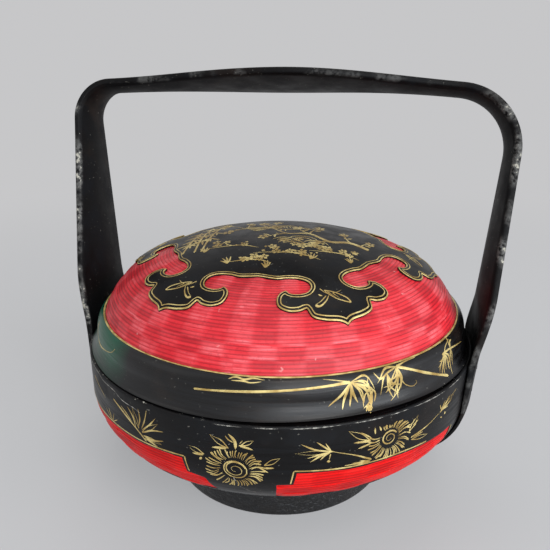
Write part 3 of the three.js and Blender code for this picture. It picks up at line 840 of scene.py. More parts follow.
def cloud_collar():
    loop = COLLAR_LOOP
    reach = LID_RADIUS
    grid = np.array([(x + (1.6 if j % 2 else 0), y)
                     for j, y in enumerate(np.arange(-reach, reach, 2.8))
                     for x in np.arange(-reach, reach, 3.2)])
    grid = grid[inside(grid, loop)]
    grid = grid[distance(grid, loop) > 2.2]
    rings = [offset_loop(loop, inset) for inset in (0.25, 0.7, 1.4)]
    points = np.vstack([loop, grid] + rings)
    flat, faces = triangulate(points, [list(range(len(loop)))])
    faces = faces[inside(flat[faces].mean(axis=1), loop)]
    used = np.unique(faces)
    faces = np.searchsorted(used, faces)
    flat = flat[used]
    near = distance(flat, loop)
    top = on_dome(flat, collar_height(flat, near))
    under = on_dome(flat, np.where(near < 1e-3, 0.0, -0.5))
    count = len(flat)
    both = np.vstack([faces, faces[:, ::-1] + count])
    piece = make_object("lid_cloud_collar_lacquered", np.vstack([top, under]), both,
                        [collar_lacquer],
                        edge=np.concatenate([np.exp(-near / 1.2), np.zeros(count)]))
    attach(piece, "lid")
    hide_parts("lid_cloud_collar")


# Handle: one bent strap, followed from the toes over the corners to the middle of the grip
HANDLE_TOP_Z = 338        # the outer face's middle line at the grip
HANDLE_SPREAD = 14.15     # how far the corners stand out past the legs
HANDLE_LEAN = math.radians(10.5)
HANDLE_RIM_OFFSET_Y = -11
LEFT_BEND = (31, 4000)    # radii of the corner and of the grip's crown
RIGHT_BEND = (50, 1500)
STRAP_GAP = 0.45
STRAP_EDGE = 5.2
STRAP_TOE_EDGE = 2.6
STRAP_BELLY = 4.2
STRAP_BASE_WIDTH = 84
STRAP_CORNER_WIDTH = 43
STRAP_NECK_WIDTH = 31
STRAP_GRIP_WIDTH = 80
STRAP_TOE_WIDTH = 62
STRAP_TOE_CLEARANCE = 6
STRAP_TWIST_HEIGHT = 45
STRAP_ROUNDING = 1.9
PEG_RADIUS = 2
strap_outer = RIM_RADIUS + STRAP_GAP + STRAP_EDGE
toe_offset = STRAP_GAP + STRAP_TOE_EDGE


def strap_middle(z):
    return HANDLE_RIM_OFFSET_Y + (z - RIM_Z) * math.tan(HANDLE_LEAN)


def strap_section(width, thickness, belly):
    """Closed section as [across, depth from the outer face], and how near an edge each point is."""
    half, r = width / 2, min(STRAP_ROUNDING, 0.4 * thickness)
    faces = np.linspace(-half + r, half - r, 22)
    outer = np.column_stack([faces, np.zeros(22)])
    corner = arc((half - r, r), r, -90, 0, 6)[1:]
    lower = arc((half - r, thickness - r), r, 0, 90, 6)[:-1]
    inner = np.column_stack([faces[::-1], thickness + belly * (1 - (faces[::-1] / half) ** 2)])
    left = np.vstack([corner, lower])[::-1] * (-1, 1)
    points = np.vstack([outer, corner, lower, inner, left])
    return points, np.exp(-np.maximum(half - np.abs(points[:, 0]) - r * 0.5, 0) / 2.2)


def smoothstep(x):
    x = min(max(x, 0), 1)
    return x * x * (3 - 2 * x)


def lerp(a, b, share):
    return a + (b - a) * share


def strap_on_bowl(inner, outer, width):
    thickness = np.linalg.norm(inner - outer)
    points, edge = strap_section(width, thickness, 0)
    radius, z = (outer + points[:, 1:] * (inner - outer) / thickness).T
    y = strap_middle(outer[1]) + points[:, 0]
    return np.column_stack([np.sqrt(radius ** 2 - y ** 2), y, z]), edge


def strap_free(x, height, normal, width):
    settled = smoothstep(height / STRAP_TWIST_HEIGHT)
    points, edge = strap_section(width, STRAP_EDGE, settled * STRAP_BELLY)
    lean = HANDLE_LEAN * settled
    middle = strap_middle(RIM_Z + height)
    wrap = (1 - settled) * (strap_outer - np.sqrt(strap_outer ** 2 - (middle + points[:, 0]) ** 2))
    inward = points[:, 1] + wrap
    return np.column_stack([
        x + inward * normal[0],
        middle + points[:, 0] * math.cos(lean) + inward * normal[1] * math.sin(lean),
        RIM_Z + height - points[:, 0] * math.sin(lean) + inward * normal[1] * math.cos(lean)]), edge


def strap_below_rim():
    """Sections from the toe up the bowl to its rim. The strap is pared down below the wall."""
    slope = math.radians(BELLY_TURN)
    toe = FOOT_RADIUS + STRAP_TOE_CLEARANCE
    lines = []
    outer_toe = toe + STRAP_TOE_EDGE * math.cos(slope)
    for offset, rim_offset, end in ((STRAP_GAP, STRAP_GAP, toe),
                                    (toe_offset, STRAP_GAP + STRAP_EDGE, outer_toe)):
        belly = arc(belly_centre, BELLY_RADIUS + offset, -BELLY_TURN, 0, 16)
        foot = np.array([end, belly[0, 1] - (belly[0, 0] - end) / math.tan(slope)])
        cone = foot + (belly[0] - foot) * np.linspace(0, 1, 10)[:-1, None]
        wall = np.column_stack([RIM_RADIUS + np.linspace(offset, rim_offset, 8),
                                np.linspace(BELLY_TOP_Z, RIM_Z, 8)])
        lines.append(np.vstack([cone, belly, wall[1:]]))
    bend = len(lines[0]) - 8
    return [strap_on_bowl(inner, outer, lerp(STRAP_TOE_WIDTH, STRAP_BASE_WIDTH, min(1, i / bend)))
            for i, (inner, outer) in enumerate(zip(*lines))]


def strap_half(corner_radius, crown_radius):
    """Sections of one half, from its toe to the middle of the grip. Above the rim its outer line is
    a straight leg, a corner arc and half of the crowned top, all tangent to one another."""
    sections = strap_below_rim()
    leg_foot = np.array([strap_outer, 0.0])
    crown = np.array([0.0, HANDLE_TOP_Z - RIM_Z - crown_radius])
    corner_x = strap_outer + HANDLE_SPREAD - corner_radius
    rise = math.sqrt((crown_radius - corner_radius) ** 2 - corner_x ** 2)
    corner = np.array([corner_x, crown[1] + rise])
    crown_turn = math.atan2(corner_x, corner[1] - crown[1])
    to_corner = corner - leg_foot
    gap = np.linalg.norm(to_corner)
    splay = math.atan2(to_corner[0], to_corner[1]) + math.asin(corner_radius / gap)
    leg_length = math.sqrt(gap ** 2 - corner_radius ** 2)
    run = np.array([math.sin(splay), math.cos(splay)])
    inward = np.array([-run[1], run[0]])
    for share in np.linspace(0, 1, 22)[1:]:
        x, height = leg_foot + run * leg_length * share
        width = lerp(STRAP_BASE_WIDTH, STRAP_CORNER_WIDTH, share)
        sections.append(strap_free(x, height, inward, width))
    for share in np.linspace(0, 1, 26)[1:]:
        turn = lerp(-splay, math.pi / 2 - crown_turn, share)
        normal = np.array([-math.cos(turn), -math.sin(turn)])
        x, height = corner - normal * corner_radius
        width = lerp(STRAP_CORNER_WIDTH, STRAP_NECK_WIDTH, share)
        sections.append(strap_free(x, height, normal, width))
    for share in np.linspace(0, 1, 26)[1:]:
        turn = crown_turn * (1 - share)
        normal = np.array([-math.sin(turn), -math.cos(turn)])
        x, height = crown - normal * crown_radius
        width = lerp(STRAP_NECK_WIDTH, STRAP_GRIP_WIDTH, math.sin(math.pi / 2 * share) ** 2)
        sections.append(strap_free(x, height, normal, width))
    return sections


def handle():
    left = [(points * (-1, 1, 1), edge) for points, edge in strap_half(*LEFT_BEND)[:-1]]
    sections = strap_half(*RIGHT_BEND) + left[::-1]
    count = len(sections[0][0])
    vertices = np.vstack([points for points, _ in sections])
    edge = np.concatenate([values for _, values in sections])
    # The grip's edges are less worn
    edge = edge * np.where(vertices[:, 2] > HANDLE_TOP_Z - 20, 0.62, 1.0)
    faces = ring_faces(len(sections), count, looped=False).tolist()
    faces.append(list(range(count)))
    faces.append([(len(sections) - 1) * count + k for k in reversed(range(count))])
    piece = make_object("handle_strap", vertices, faces, [strap_lacquer], edge=edge)
    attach(piece, "basket")
    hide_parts("handle")


def pegs():
    """Round pegs driven through the legs and cut off level with the strap's face."""
    for node in sorted(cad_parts):
        if not node.startswith("leg_peg_"):
            continue
        low, high = box_mm(node)
        middle = (low + high) / 2
        turn = math.atan2(middle.y, middle.x)
        share = (middle.z - BELLY_TOP_Z) / (RIM_Z - BELLY_TOP_Z)
        face = RIM_RADIUS + lerp(toe_offset, STRAP_GAP + STRAP_EDGE, share) + 0.1
        tip = math.hypot(middle.x, middle.y) - (high.z - low.z)
        outline = [(0, face), (PEG_RADIUS - 0.3, face), (PEG_RADIUS, face - 0.3),
                   (PEG_RADIUS, tip + 0.4), (PEG_RADIUS - 0.4, tip), (0, tip)]
        grid = turned_grid(outline, PEG_SEGMENTS)
        spin = Matrix.Rotation(turn, 3, "Z") @ Matrix.Rotation(math.pi / 2, 3, "Y")
        vertices = grid @ np.array(spin).T + (0, 0, middle.z)
        edge = np.repeat([0.3, 0.6, 0.6, 0, 0, 0], PEG_SEGMENTS)
        faces = ring_faces(len(outline), PEG_SEGMENTS, looped=False)
        piece = make_object(node + "_turned", vertices, faces, [worn_lacquer], edge=edge)
        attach(piece, "basket")
        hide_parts(node)


# Gold brushwork
FORMS = {
    "even": lambda t: np.ones_like(t),
    "club": lambda t: 0.3 + 0.7 * t ** 0.9,
    "leaf": lambda t: 0.1 + 0.9 * np.sin(np.pi * np.clip(t, 0, 1) ** 0.85) ** 0.8,
    "tail": lambda t: 1 - 0.82 * t,
    "dab": lambda t: 0.25 + 0.75 * np.sin(np.pi * t) ** 0.5,
}


def ray(angle):
    return np.array([math.cos(math.radians(angle)), math.sin(math.radians(angle))])


class Brush:
    """Strokes of one paint on one body, gathered into one mesh."""

    def __init__(self):
        self.vertices, self.faces, self.count = [], [], 0

    def add(self, rows, closed):
        """A stroke from four rows of points: one side, crest, other side, underneath."""
        n = len(rows[0])
        self.vertices.append(np.stack(rows, 1).reshape(-1, 3))
        self.faces += ring_faces(n, 4, closed, self.count).tolist()
        if not closed:
            self.faces.append([self.count + k for k in (3, 2, 1, 0)])
            self.faces.append([self.count + 4 * (n - 1) + k for k in range(4)])
        self.count += 4 * n

    def finish(self, name, body, slot, material):
        piece = make_object(name, np.vstack(self.vertices), self.faces, [material], weld=1e-9)
        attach(piece, body)


class Canvas:
    """A painted surface and its brush. stroke, petal and dab take flat millimetres, which place
    sets on the surface; the rest take [turn, height] on a surface unrolled at a radius."""

    def __init__(self, brush, place, radius=None, half_turn=0):
        self.brush, self.place, self.radius, self.half_turn = brush, place, radius, half_turn

    def stroke(self, points, width, form="even", closed=False, lift=STROKE_LIFT):
        path = smooth(points, closed=closed)
        along = np.roll(path, -1, axis=0) - np.roll(path, 1, axis=0) if closed \
            else np.gradient(path, axis=0)
        along /= np.linalg.norm(along, axis=1)[:, None] + 1e-9
        side = np.column_stack([-along[:, 1], along[:, 0]])
        t = np.linspace(0, 1, len(path))
        share = FORMS[form](t) * (1 + 0.1 * np.sin(t * hand.uniform(5, 15) + hand.uniform(0, 6)))
        if not closed:
            length = np.linalg.norm(np.diff(path, axis=0), axis=1).sum()
            to_end = np.minimum(t, 1 - t) * length
            share = share * np.sqrt(np.clip(to_end / (width * 0.5) + 0.06, 0, 1))
        half = (width / 2 * share)[:, None]
        self.brush.add([self.place(path + side * half, STROKE_EDGE),
                        self.place(path, lift * np.clip(share, 0.3, 1)),
                        self.place(path - side * half, STROKE_EDGE),
                        self.place(path, STROKE_SINK)], closed)

    def petal(self, start, angle, length, width, form="leaf", bend=0.0):
        """One curved stroke from a point, bending by a share of its length."""
        out = ray(angle)
        aside = np.array([-out[1], out[0]])
        start = np.array(start, float)
        self.stroke([start, start + out * length * 0.5 + aside * bend * length,
                     start + out * length], width, form)

    def dab(self, centre, width, length, angle=0.0):
        half = length / 2 * ray(angle)
        self.stroke([np.array(centre) - half, centre, np.array(centre) + half], width, "dab")

    def flat(self, *points):
        return [(math.radians(turn + self.half_turn) * self.radius, height)
                for turn, height in points]

    def line(self, points, width, form="tail", lift=STROKE_LIFT):
        self.stroke(self.flat(*points), width, form, lift=lift)

    def spot(self, point, *size):
        self.dab(self.flat(point)[0], *size)

    def fan(self, node, width, *leaves):
        """Leaves from one node, each as [angle, length, bend]."""
        for angle, length, bend in leaves:
            self.petal(self.flat(node)[0], angle, length, width, "leaf", bend)

    def between(self, *ends):
        (x0, y0), (x1, y1) = self.flat(ends[:2], ends[2:])
        angle = math.degrees(math.atan2(y1 - y0, x1 - x0))
        return (x0, y0), angle, math.hypot(x1 - x0, y1 - y0)

    def blade(self, x0, y0, x1, y1, width, bend=0.0):
        """A filled leaf."""
        self.petal(*self.between(x0, y0, x1, y1), width, "leaf", bend)

    def pod(self, x0, y0, x1, y1, belly=1.6, width=0.8):
        """An outlined leaf."""
        start, angle, length = self.between(x0, y0, x1, y1)
        for side in (-1, 1):
            self.petal(start, angle, length, width, "tail", side * belly / length)


def unrolled(skin, radius, surface, warp=None):
    def place(flat, lift):
        turn = ART_TURN + np.degrees(flat[:, 0] / radius)
        s = np.interp(-(RIM_Z + flat[:, 1]), -skin.points[:, 1], skin.s)
        points = skin.place(turn, s, surface(turn) + lift)
        if warp:
            points[:, 2] += warp(turn - ART_TURN, points[:, 2])
        return points
    return place


def band_wobble(turn):
    return wobble(turn, "band", BAND_UNEVEN) - BAND_UNEVEN


def on_collar_edge(flat, lift):
    return on_dome(flat, collar_height(flat, distance(flat, COLLAR_LOOP)) + lift)


def on_crown(flat, lift):
    return on_dome(flat, collar_height(flat, np.full(len(flat), LID_RADIUS)) + lift)


def chrysanthemum(on, middle, ring, reach, petals, spiral, hollow, gap, flat, tilt=0.0, rim=True):
    """A flower head: a coiled eye and club-ended petals. reach is (right, up, left, down), and no
    petal stands in the gap between two angles."""
    centre = np.array(on.flat(middle)[0])
    long_way = ray(tilt)
    short_way = np.array([-long_way[1], long_way[0]]) * flat

    def around(share, a):
        return centre + ring * share * (math.cos(a) * long_way + math.sin(a) * short_way)

    steps = int(12 * spiral)
    coil = [around(1 - 0.85 * i / steps, 0.5 + i * math.pi / 6) for i in range(steps)]
    on.stroke(coil, 1.3, "tail")
    if rim:
        on.stroke([around(1, a) for a in np.arange(0, 6.28, 0.52)], 0.8, closed=True)
    right, up, left, down = reach
    for k in range(petals):
        angle = 360 * k / petals + hand.uniform(-2.5, 2.5)
        if gap[0] < angle % 360 < gap[1]:
            continue
        x, y = ray(angle)
        far = math.hypot((right if x > 0 else left) * x, (up if y > 0 else down) * y)
        far *= hand.uniform(0.93, 1.05)
        near = max(ring + 1.2, far * hollow * hand.uniform(0.88, 1.04))
        on.petal(centre + near * ray(angle), angle + hand.uniform(-6, 6), far - near,
                 hand.uniform(0.85, 1.15), "club", hand.uniform(0.02, 0.2))


def bowl_painting(on):
    """Two chrysanthemums with leaves, a budding twig and a spray, between and above the panels."""
    pod, blade, line, spot = on.pod, on.blade, on.line, on.spot

    # First flower, in the gap between the front panels
    chrysanthemum(on, (-1.0, -33.6), 7.8, (19.5, 14.5, 21, 14.5), 52, 1.9, 0.54, (222, 232),
                  0.82, -14)
    pod(-2.4, -17.8, -6.8, -9.6, 1.7)
    blade(-2.6, -17.6, -6.4, -18.8, 1.9)
    blade(-3.2, -14.5, -4.6, -11.2, 0.8)
    blade(-0.8, -18.2, -2.4, -6.9, 2.2, -0.16)
    blade(-1.3, -13.0, -3.2, -8.6, 0.9, 0.1)
    pod(0.4, -14.8, 3.4, -10.4, 1.3)
    blade(-0.1, -14.6, 3.2, -17.2, 1.8)
    line([(0.2, -13.2), (0.9, -10.6)], 0.8)
    pod(-8.4, -25.4, -12.6, -21.4)
    blade(-8.6, -26.2, -11.4, -26.4, 1.5)
    blade(-9.0, -28.0, -9.6, -30.2, 1.8)
    pod(5.6, -28.6, 9.2, -22.8, 1.5)
    line([(3.8, -28.4), (5.0, -24.8)], 0.8)
    blade(5.4, -30.6, 7.9, -30.2, 1.4)
    blade(4.2, -29.6, 6.6, -34.0, 1.2)

    # Spray whose stem comes from behind the second flower
    line([(30.8, -31.4), (26.4, -25.2), (20.9, -19.8)], 1.5)
    pod(21.2, -19.8, 12.4, -19.4, 1.5)
    for row in ((13.8, -12.6, 1.3), (15.8, -26.6, 1.4), (17.3, -11.6, 1.2), (18.2, -25.4, 1.2),
                (14.9, -23.6, 1.2), (19.4, -13.2, 1.0)):
        blade(20.8, -19.7, *row, hand.uniform(-0.08, 0.08))
    spot((20.2, -27.0), 2.0, 2.4)
    line([(20.6, -21.5), (20.3, -25.6)], 0.7, "even")
    for end in ((24.6, -34.2), (25.8, -31.2), (27.6, -30.4), (24.0, -32.0)):
        blade(30.6, -32.6, *end, 1.3)

    # Second flower
    chrysanthemum(on, (35.4, -18.6), 6.4, (19, 10, 17, 15.5), 46, 2.0, 0.42, (122, 158), 0.9,
                  rim=False)
    pod(30.2, -16.6, 24.6, -6.4, 1.9)
    for row in ((30.6, -15.0, 27.6, -8.8, 1.0), (30.4, -17.0, 26.0, -15.8, 1.7),
                (30.6, -18.6, 27.0, -21.0, 1.7), (31.4, -12.6, 31.2, -7.6, 1.2),
                (33.0, -11.2, 32.4, -7.4, 1.2), (34.4, -10.8, 34.2, -7.6, 1.2)):
        blade(*row)
    pod(41.2, -19.4, 44.0, -9.0, 1.5)
    for row in ((42.0, -17.6, 43.6, -14.8), (42.4, -15.4, 44.2, -12.4), (41.6, -16.4, 41.9, -13.0),
                (42.2, -13.6, 42.8, -10.6)):
        blade(*row, 0.8)
    pod(42.2, -26.4, 48.2, -28.6, 1.4)
    blade(42.8, -25.2, 46.2, -24.2, 1.2)
    line([(42.0, -24.6), (47.6, -21.4), (52.8, -16.6)], 1.4)
    pod(52.8, -16.8, 61.0, -7.4, 1.1)
    for end in ((52.6, -10.4), (55.0, -9.4), (57.6, -8.0), (56.8, -16.2), (58.6, -13.2)):
        blade(53.4, -15.6, *end, 1.1)
    spot((55.4, -20.2), 2.0, 2.6, 30)
    spot((53.6, -21.6), 1.6, 2.2, -20)

    # Spray on the far left
    line([(-52.0, -10.0), (-46.0, -14.6), (-42.0, -18.4)], 1.2)
    line([(-38.0, -11.4), (-33.6, -16.4), (-28.6, -23.6), (-25.0, -30.4)], 1.4, "even")
    for row in ((-28.6, -23.0, -31.4, -9.6, 1.3), (-27.6, -22.2, -27.2, -6.6, 1.2),
                (-26.6, -23.2, -21.4, -8.6, 1.2), (-26.4, -25.0, -19.2, -17.0, 1.4),
                (-25.8, -27.0, -19.4, -24.4, 1.5), (-26.6, -22.6, -24.2, -5.0, 1.0),
                (-29.8, -20.6, -34.4, -12.4, 1.0), (-25.6, -28.2, -21.2, -31.0, 1.3)):
        blade(*row, hand.uniform(-0.14, 0.14))
    pod(-26.4, -24.4, -20.8, -12.4)
    pod(-27.4, -22.8, -29.4, -8.6, 1.5, 0.7)
    pod(-26.0, -26.6, -20.0, -27.8, 1.2, 0.7)
    for end in ((-44.0, -25.4), (-41.6, -23.4), (-38.6, -24.2), (-36.8, -27.4)):
        blade(-39.6, -32.4, *end, 0.8)


def band_painting(on):
    """Two facing bamboo stems and a third cluster, with a little scroll under the gold line."""
    line, fan = on.line, on.fan
    line([(-11.8, 17.2), (-2.5, 19.2), (6.8, 20.8), (16.1, 22.2), (26, 23.6)], 1.5, "even")
    line([(26, 23.6), (22.6, 25.4), (19.4, 26.6)], 0.8)
    fan((26, 23.6), 1.7, (-138, 21, 0.05), (-111, 18.5, -0.04), (-95, 16, 0.05), (-72, 15, -0.06))
    fan((26, 23.6), 1.0, (-60, 17, 0.10), (-50, 20, 0.22), (-38, 19, 0.30), (-24, 19, 0.34),
        (-46, 22, 0.12), (-30, 16, 0.2), (-56, 24, 0.3), (-66, 20, 0.2))
    fan((31.6, 17), 1.2, (-122, 15, 0.16), (-108, 17, 0.1), (-96, 14, -0.1), (-128, 11, -0.2),
        (-84, 9, 0.2), (110, 8, 0.3), (150, 9, 0.3))
    fan((30.2, 7.4), 1.4, (-100, 6.5, 0.0), (-80, 6, 0.1), (-116, 6, 0.0), (-90, 8, 0))

    line([(39.4, 26.6), (44, 21.8), (50, 14.4), (58.5, 4.6)], 1.7, "even")
    line([(39.6, 26.6), (43, 27.4), (46.6, 27.5)], 0.8)
    fan((39.4, 26.6), 1.1, (-158, 19, -0.20), (-140, 17, 0.28), (-128, 19, 0.18),
        (-118, 17, -0.12), (-104, 19, 0.05), (-96, 21, 0.0), (-150, 12, 0.3), (-84, 15, 0.12),
        (-112, 23, 0.26), (-134, 22, -0.26))
    fan((36, 24.6), 1.2, (-60, 18, -0.16), (-96, 13, 0.2), (-78, 18, -0.1), (-40, 16, -0.2),
        (170, 10, 0.35))
    line([(39, 23), (41.2, 14), (43.8, 10.4), (45.4, 11.8), (45, 13.6)], 1.0)

    line([(57, 21.4), (60.5, 21.8), (65, 20.4), (72, 17)], 1.8)
    line([(58, 21.6), (60, 25), (63.5, 27)], 0.9)
    fan((58, 21.6), 1.5, (-156, 9, 0.2), (-138, 12, 0.06), (-124, 14, -0.08), (-112, 16, 0.05),
        (-98, 15, 0.0), (-84, 13, 0.08), (-66, 16, 0.1), (-50, 13, 0.2))
    fan((62, 22), 1.3, (-116, 15, 0.05), (-100, 19, 0.0), (-84, 14, 0.1), (60, 7, 0.2),
        (28, 8, 0.2))

    line([(-3.4, 26.2), (-1.6, 27.4), (0.6, 26.6), (2.6, 27.4), (5.4, 26.8)], 0.9, "leaf")
    line([(-2.6, 25.6), (0.4, 25.8), (2.2, 25.2), (4.8, 26.0)], 0.8, "leaf")


def blossom(on, centre, size, turn):
    """A five-petalled blossom of round dabs."""
    for k in range(5):
        angle = turn + 72 * k
        on.dab(np.array(centre) + size * 0.62 * ray(angle), size * 0.62, size * 0.78, angle)
    on.dab(centre, size * 0.28, size * 0.3)


def crown_painting(on):
    """A flowering branch with a bird, bamboo at its right and dabbed ground in front."""
    branch = [(-66, 6), (-52, 10), (-38, 4), (-22, 14), (-6, 10), (10, 22), (26, 20), (40, 30)]
    on.stroke(branch, 2.6, "tail")
    on.stroke([(x, y - 1.8) for x, y in branch[:5]], 1.2, "tail")
    for start, angle, length in (((-52, 10), 70, 17), ((-38, 4), -48, 15), ((-22, 14), 105, 19),
                                 ((-22, 14), 50, 16), ((-6, 10), -35, 18), ((10, 22), 98, 20),
                                 ((10, 22), 62, 16), ((26, 20), -30, 15), ((-60, 8), 120, 12),
                                 ((26, 20), 80, 17), ((40, 30), 35, 9)):
        on.petal(start, angle, length, 1.3, "tail", hand.uniform(-0.15, 0.15))
        tip = np.array(start) + length * ray(angle)
        blossom(on, tip, hand.uniform(3.6, 5.0), hand.uniform(0, 72))
        for share in (0.45, 0.72):
            spot = np.array(start) + (tip - start) * share
            on.petal(spot, angle + hand.choice((-60, 60)), hand.uniform(4, 6.5), 1.5, "leaf", 0.1)
            on.dab(spot + (hand.uniform(-3, 3), hand.uniform(-3, 3)), 1.6, 2.0)

    # Rock under the branch, in scalloped outlines
    for x, y, size in ((-30, -6, 9), (-20, -2, 11), (-8, -6, 9), (-34, -12, 7), (-14, -11, 10),
                       (-24, -13, 8)):
        for share in (1.0, 0.62):
            on.stroke([(x + size * share * math.cos(a), y + 0.8 * size * share * math.sin(a))
                       for a in np.linspace(0.2, 2.9, 7)], 1.1, "leaf")
        blossom(on, (x + hand.uniform(-3, 3), y + 2), 3.6, hand.uniform(0, 72))

    # Bird on the branch, looking left
    on.stroke([(-13, 24), (-7, 30), (2, 31), (9, 26), (4, 20), (-5, 19.5)], 1.0, closed=True)
    for k in range(7):
        on.petal((-9 + 2.4 * k, 22.5 + (k % 2)), 62, 5.5 - 0.4 * abs(k - 3), 1.0, "club")
    on.stroke([(-13, 24), (-17, 27.5), (-20.5, 25.6), (-17.5, 22.6)], 1.0)
    on.petal((-20.6, 25.6), 196, 4, 0.9, "tail")
    on.dab((-17.4, 25.6), 0.9, 1.0)
    for k in range(5):
        on.petal((-6 + k * 2.4, 29 - k * 0.5), -38 + k * 4, 12 - k, 1.1, "club", 0.08)
    for k in range(6):
        on.petal((8, 26 - k * 0.9), -6 - k * 7, 21 - 1.5 * k, 1.2, "club", -0.06)
    for x in (-3.5, 0.0):
        on.stroke([(x, 19.4), (x - 0.6, 14.5)], 0.8)

    # Bamboo on the right
    for x, top, lean in ((50, 46, 3), (57, 36, 5), (63, 22, 2)):
        on.stroke([(x - lean, -22), (x, 6), (x + lean * 0.4, top)], 1.6)
        for share in (0.35, 0.55, 0.75, 0.95):
            spot = (x - lean + lean * 1.3 * share, -22 + (top + 22) * share)
            for angle in (-150, -118, -62, -30):
                on.petal(spot, angle + hand.uniform(-12, 12), hand.uniform(7, 12), 1.6, "leaf",
                         hand.uniform(-0.1, 0.1))

    # Ground in front: low banks with clusters of dabs and tufts of grass
    for x, y, width in ((-44, -14, 34), (-14, -24, 46), (26, -17, 38), (8, -36, 30)):
        on.stroke([(x - width / 2, y - 1.5), (x - width / 6, y + 1.6), (x + width / 5, y),
                   (x + width / 2, y - 2.2)], 1.1, "leaf")
        for _ in range(int(width / 2.4)):
            place = (x + width * 0.42 * hand.uniform(-1, 1), y + 1.5 + 7 * hand.random() ** 1.6)
            if hand.random() < 0.25:
                blossom(on, place, hand.uniform(2.6, 3.6), hand.uniform(0, 72))
            else:
                on.dab(place, hand.uniform(1.3, 2.6), hand.uniform(1.6, 3.2), hand.uniform(-40, 40))
    for x, y, angle in ((-56, -22, 70), (-30, -27, 95), (44, -24, 80), (-4, -43, 80),
                        (22, -40, 60)):
        for spread in (-30, -12, 6, 26):
            on.petal((x, y), angle + spread, hand.uniform(6, 10), 1.1, "leaf", 0.06)


# A twig, an outlined leaf and a hanging bud, each stroke as [width, form, points across and down]
SPRIG_INSET = 34
SPRIG = ((1.0, "tail", (-8.7, -11.8), (-6.8, -7.8), (-4.4, -4.9)),
         (1.0, "even", (-6.4, -9.6), (-1.8, -7.7), (2.4, -4.7), (6.9, -0.4), (8.3, 3.5)),
         (0.9, "even", (-6, -8.8), (-4.6, -5.5), (-0.8, -0.9), (4.9, 2.4), (8.3, 3.5)),
         (0.9, "tail", (-4.6, -8.2), (-2.6, -4.4), (-0.9, -1.6)),
         (0.8, "tail", (-1.5, -6.1), (0.2, -3), (1.6, -0.8)),
         (0.8, "tail", (-1.5, -6.1), (2.1, -6.3), (5.9, -7.8)),
         (1.3, "club", (-4.9, -4.3), (-8.5, -0.2), (-13.4, 2.8), (-17.2, 3.1)),
         (0.9, "tail", (-7, -4.2), (-12.4, -0.4), (-16.6, 1.2)),
         (2.2, "dab", (-15.2, 2.3), (-17.8, 2.4)),
         (1.4, "leaf", (-12, -6.5), (-9.6, -4.4)))


def lobe_sprig(on, turn, flip):
    out = np.array(collar_point(turn, 0)) / LID_RADIUS
    aside = np.array([-out[1], out[0]]) * flip
    for width, form, *points in SPRIG:
        on.stroke([out * (LID_RADIUS - SPRIG_INSET + down) + aside * across
                   for across, down in points], width, form)


def cracks_and_lip_highlight(place):
    """Fine cracks in the bowl's lacquer, and the rubbed lip of its rim, drawn pale on the front
    right as a painted highlight.
    """
    on = Canvas(Brush(), place, RIM_RADIUS)
    for width, *points in (
        (0.65, (-60, -1.4), (-48, -1.2), (-43.8, -3.4), (-37.7, -3.6), (-33.6, -7), (-28.8, -7.9),
         (-26.6, -9.5)),
        (0.4, (-43.9, -20.3), (-41.6, -18.4), (-39.8, -17.2)),
        (0.5, (-1.6, -40.1), (-0.9, -45.2), (-0.3, -48.9), (1.9, -53.8), (3.4, -55.2)),
        (0.45, (148, -6), (156, -9.4), (163, -8.6), (171, -13))):
        on.line(points, width, "even", lift=0.06)
    # Painted highlight: short pale strokes along the rim's lip, drawn only on the front right,
    # where the light catches it.
    turn = -6.0
    while turn < 62:
        end = turn + hand.uniform(5, 14)
        lip_highlight = [(t, -1.0 + 0.12 * math.sin(t / 3)) for t in np.linspace(turn, end, 8)]
        on.line(lip_highlight, hand.uniform(0.5, 0.8), "leaf", lift=0.05)
        turn = end + hand.uniform(0.5, 3)
    on.brush.finish("lacquer_cracks_and_lip_highlight", "basket", "worn_black_lacquer", bare)


def gold_line(brush):
    """The line where the red dome meets the black band, drawn in long pulls of the brush."""
    turn = np.arange(0, 360, 1.0)
    angle = np.radians(turn)
    drift = 0.9 + 0.35 * np.sin(3 * angle) + 0.2 * np.sin(7 * angle + math.radians(40))
    brush.add([band_skin.place(turn, drift + aside, lift + 0.12)
               for aside, lift in ((0.7, 0.05), (0, 0.25), (-0.7, 0.05), (0, -0.3))], True)


def panel_lines(on):
    """Thin lines along the panels' upper edges and first steps."""
    for panel, side, half_turn in PANELS:
        top = [(turn + half_turn, height + 1.9) for turn, height in panel[:-5 if side > 0 else -4]]
        top[0] = (top[0][0] - 0.7 * side, top[0][1])
        step = (panel[-1][0] - 0.7 * side + half_turn, panel[-1][1] + 1.0)
        on.line(top, 1.05, "even")
        on.line([step, top[0]], 1.05, "even")
        if side > 0:
            end = (panel[4][0] + 0.6 + half_turn, panel[4][1])
            on.line([end, (end[0], end[1] - 9)], 0.7)


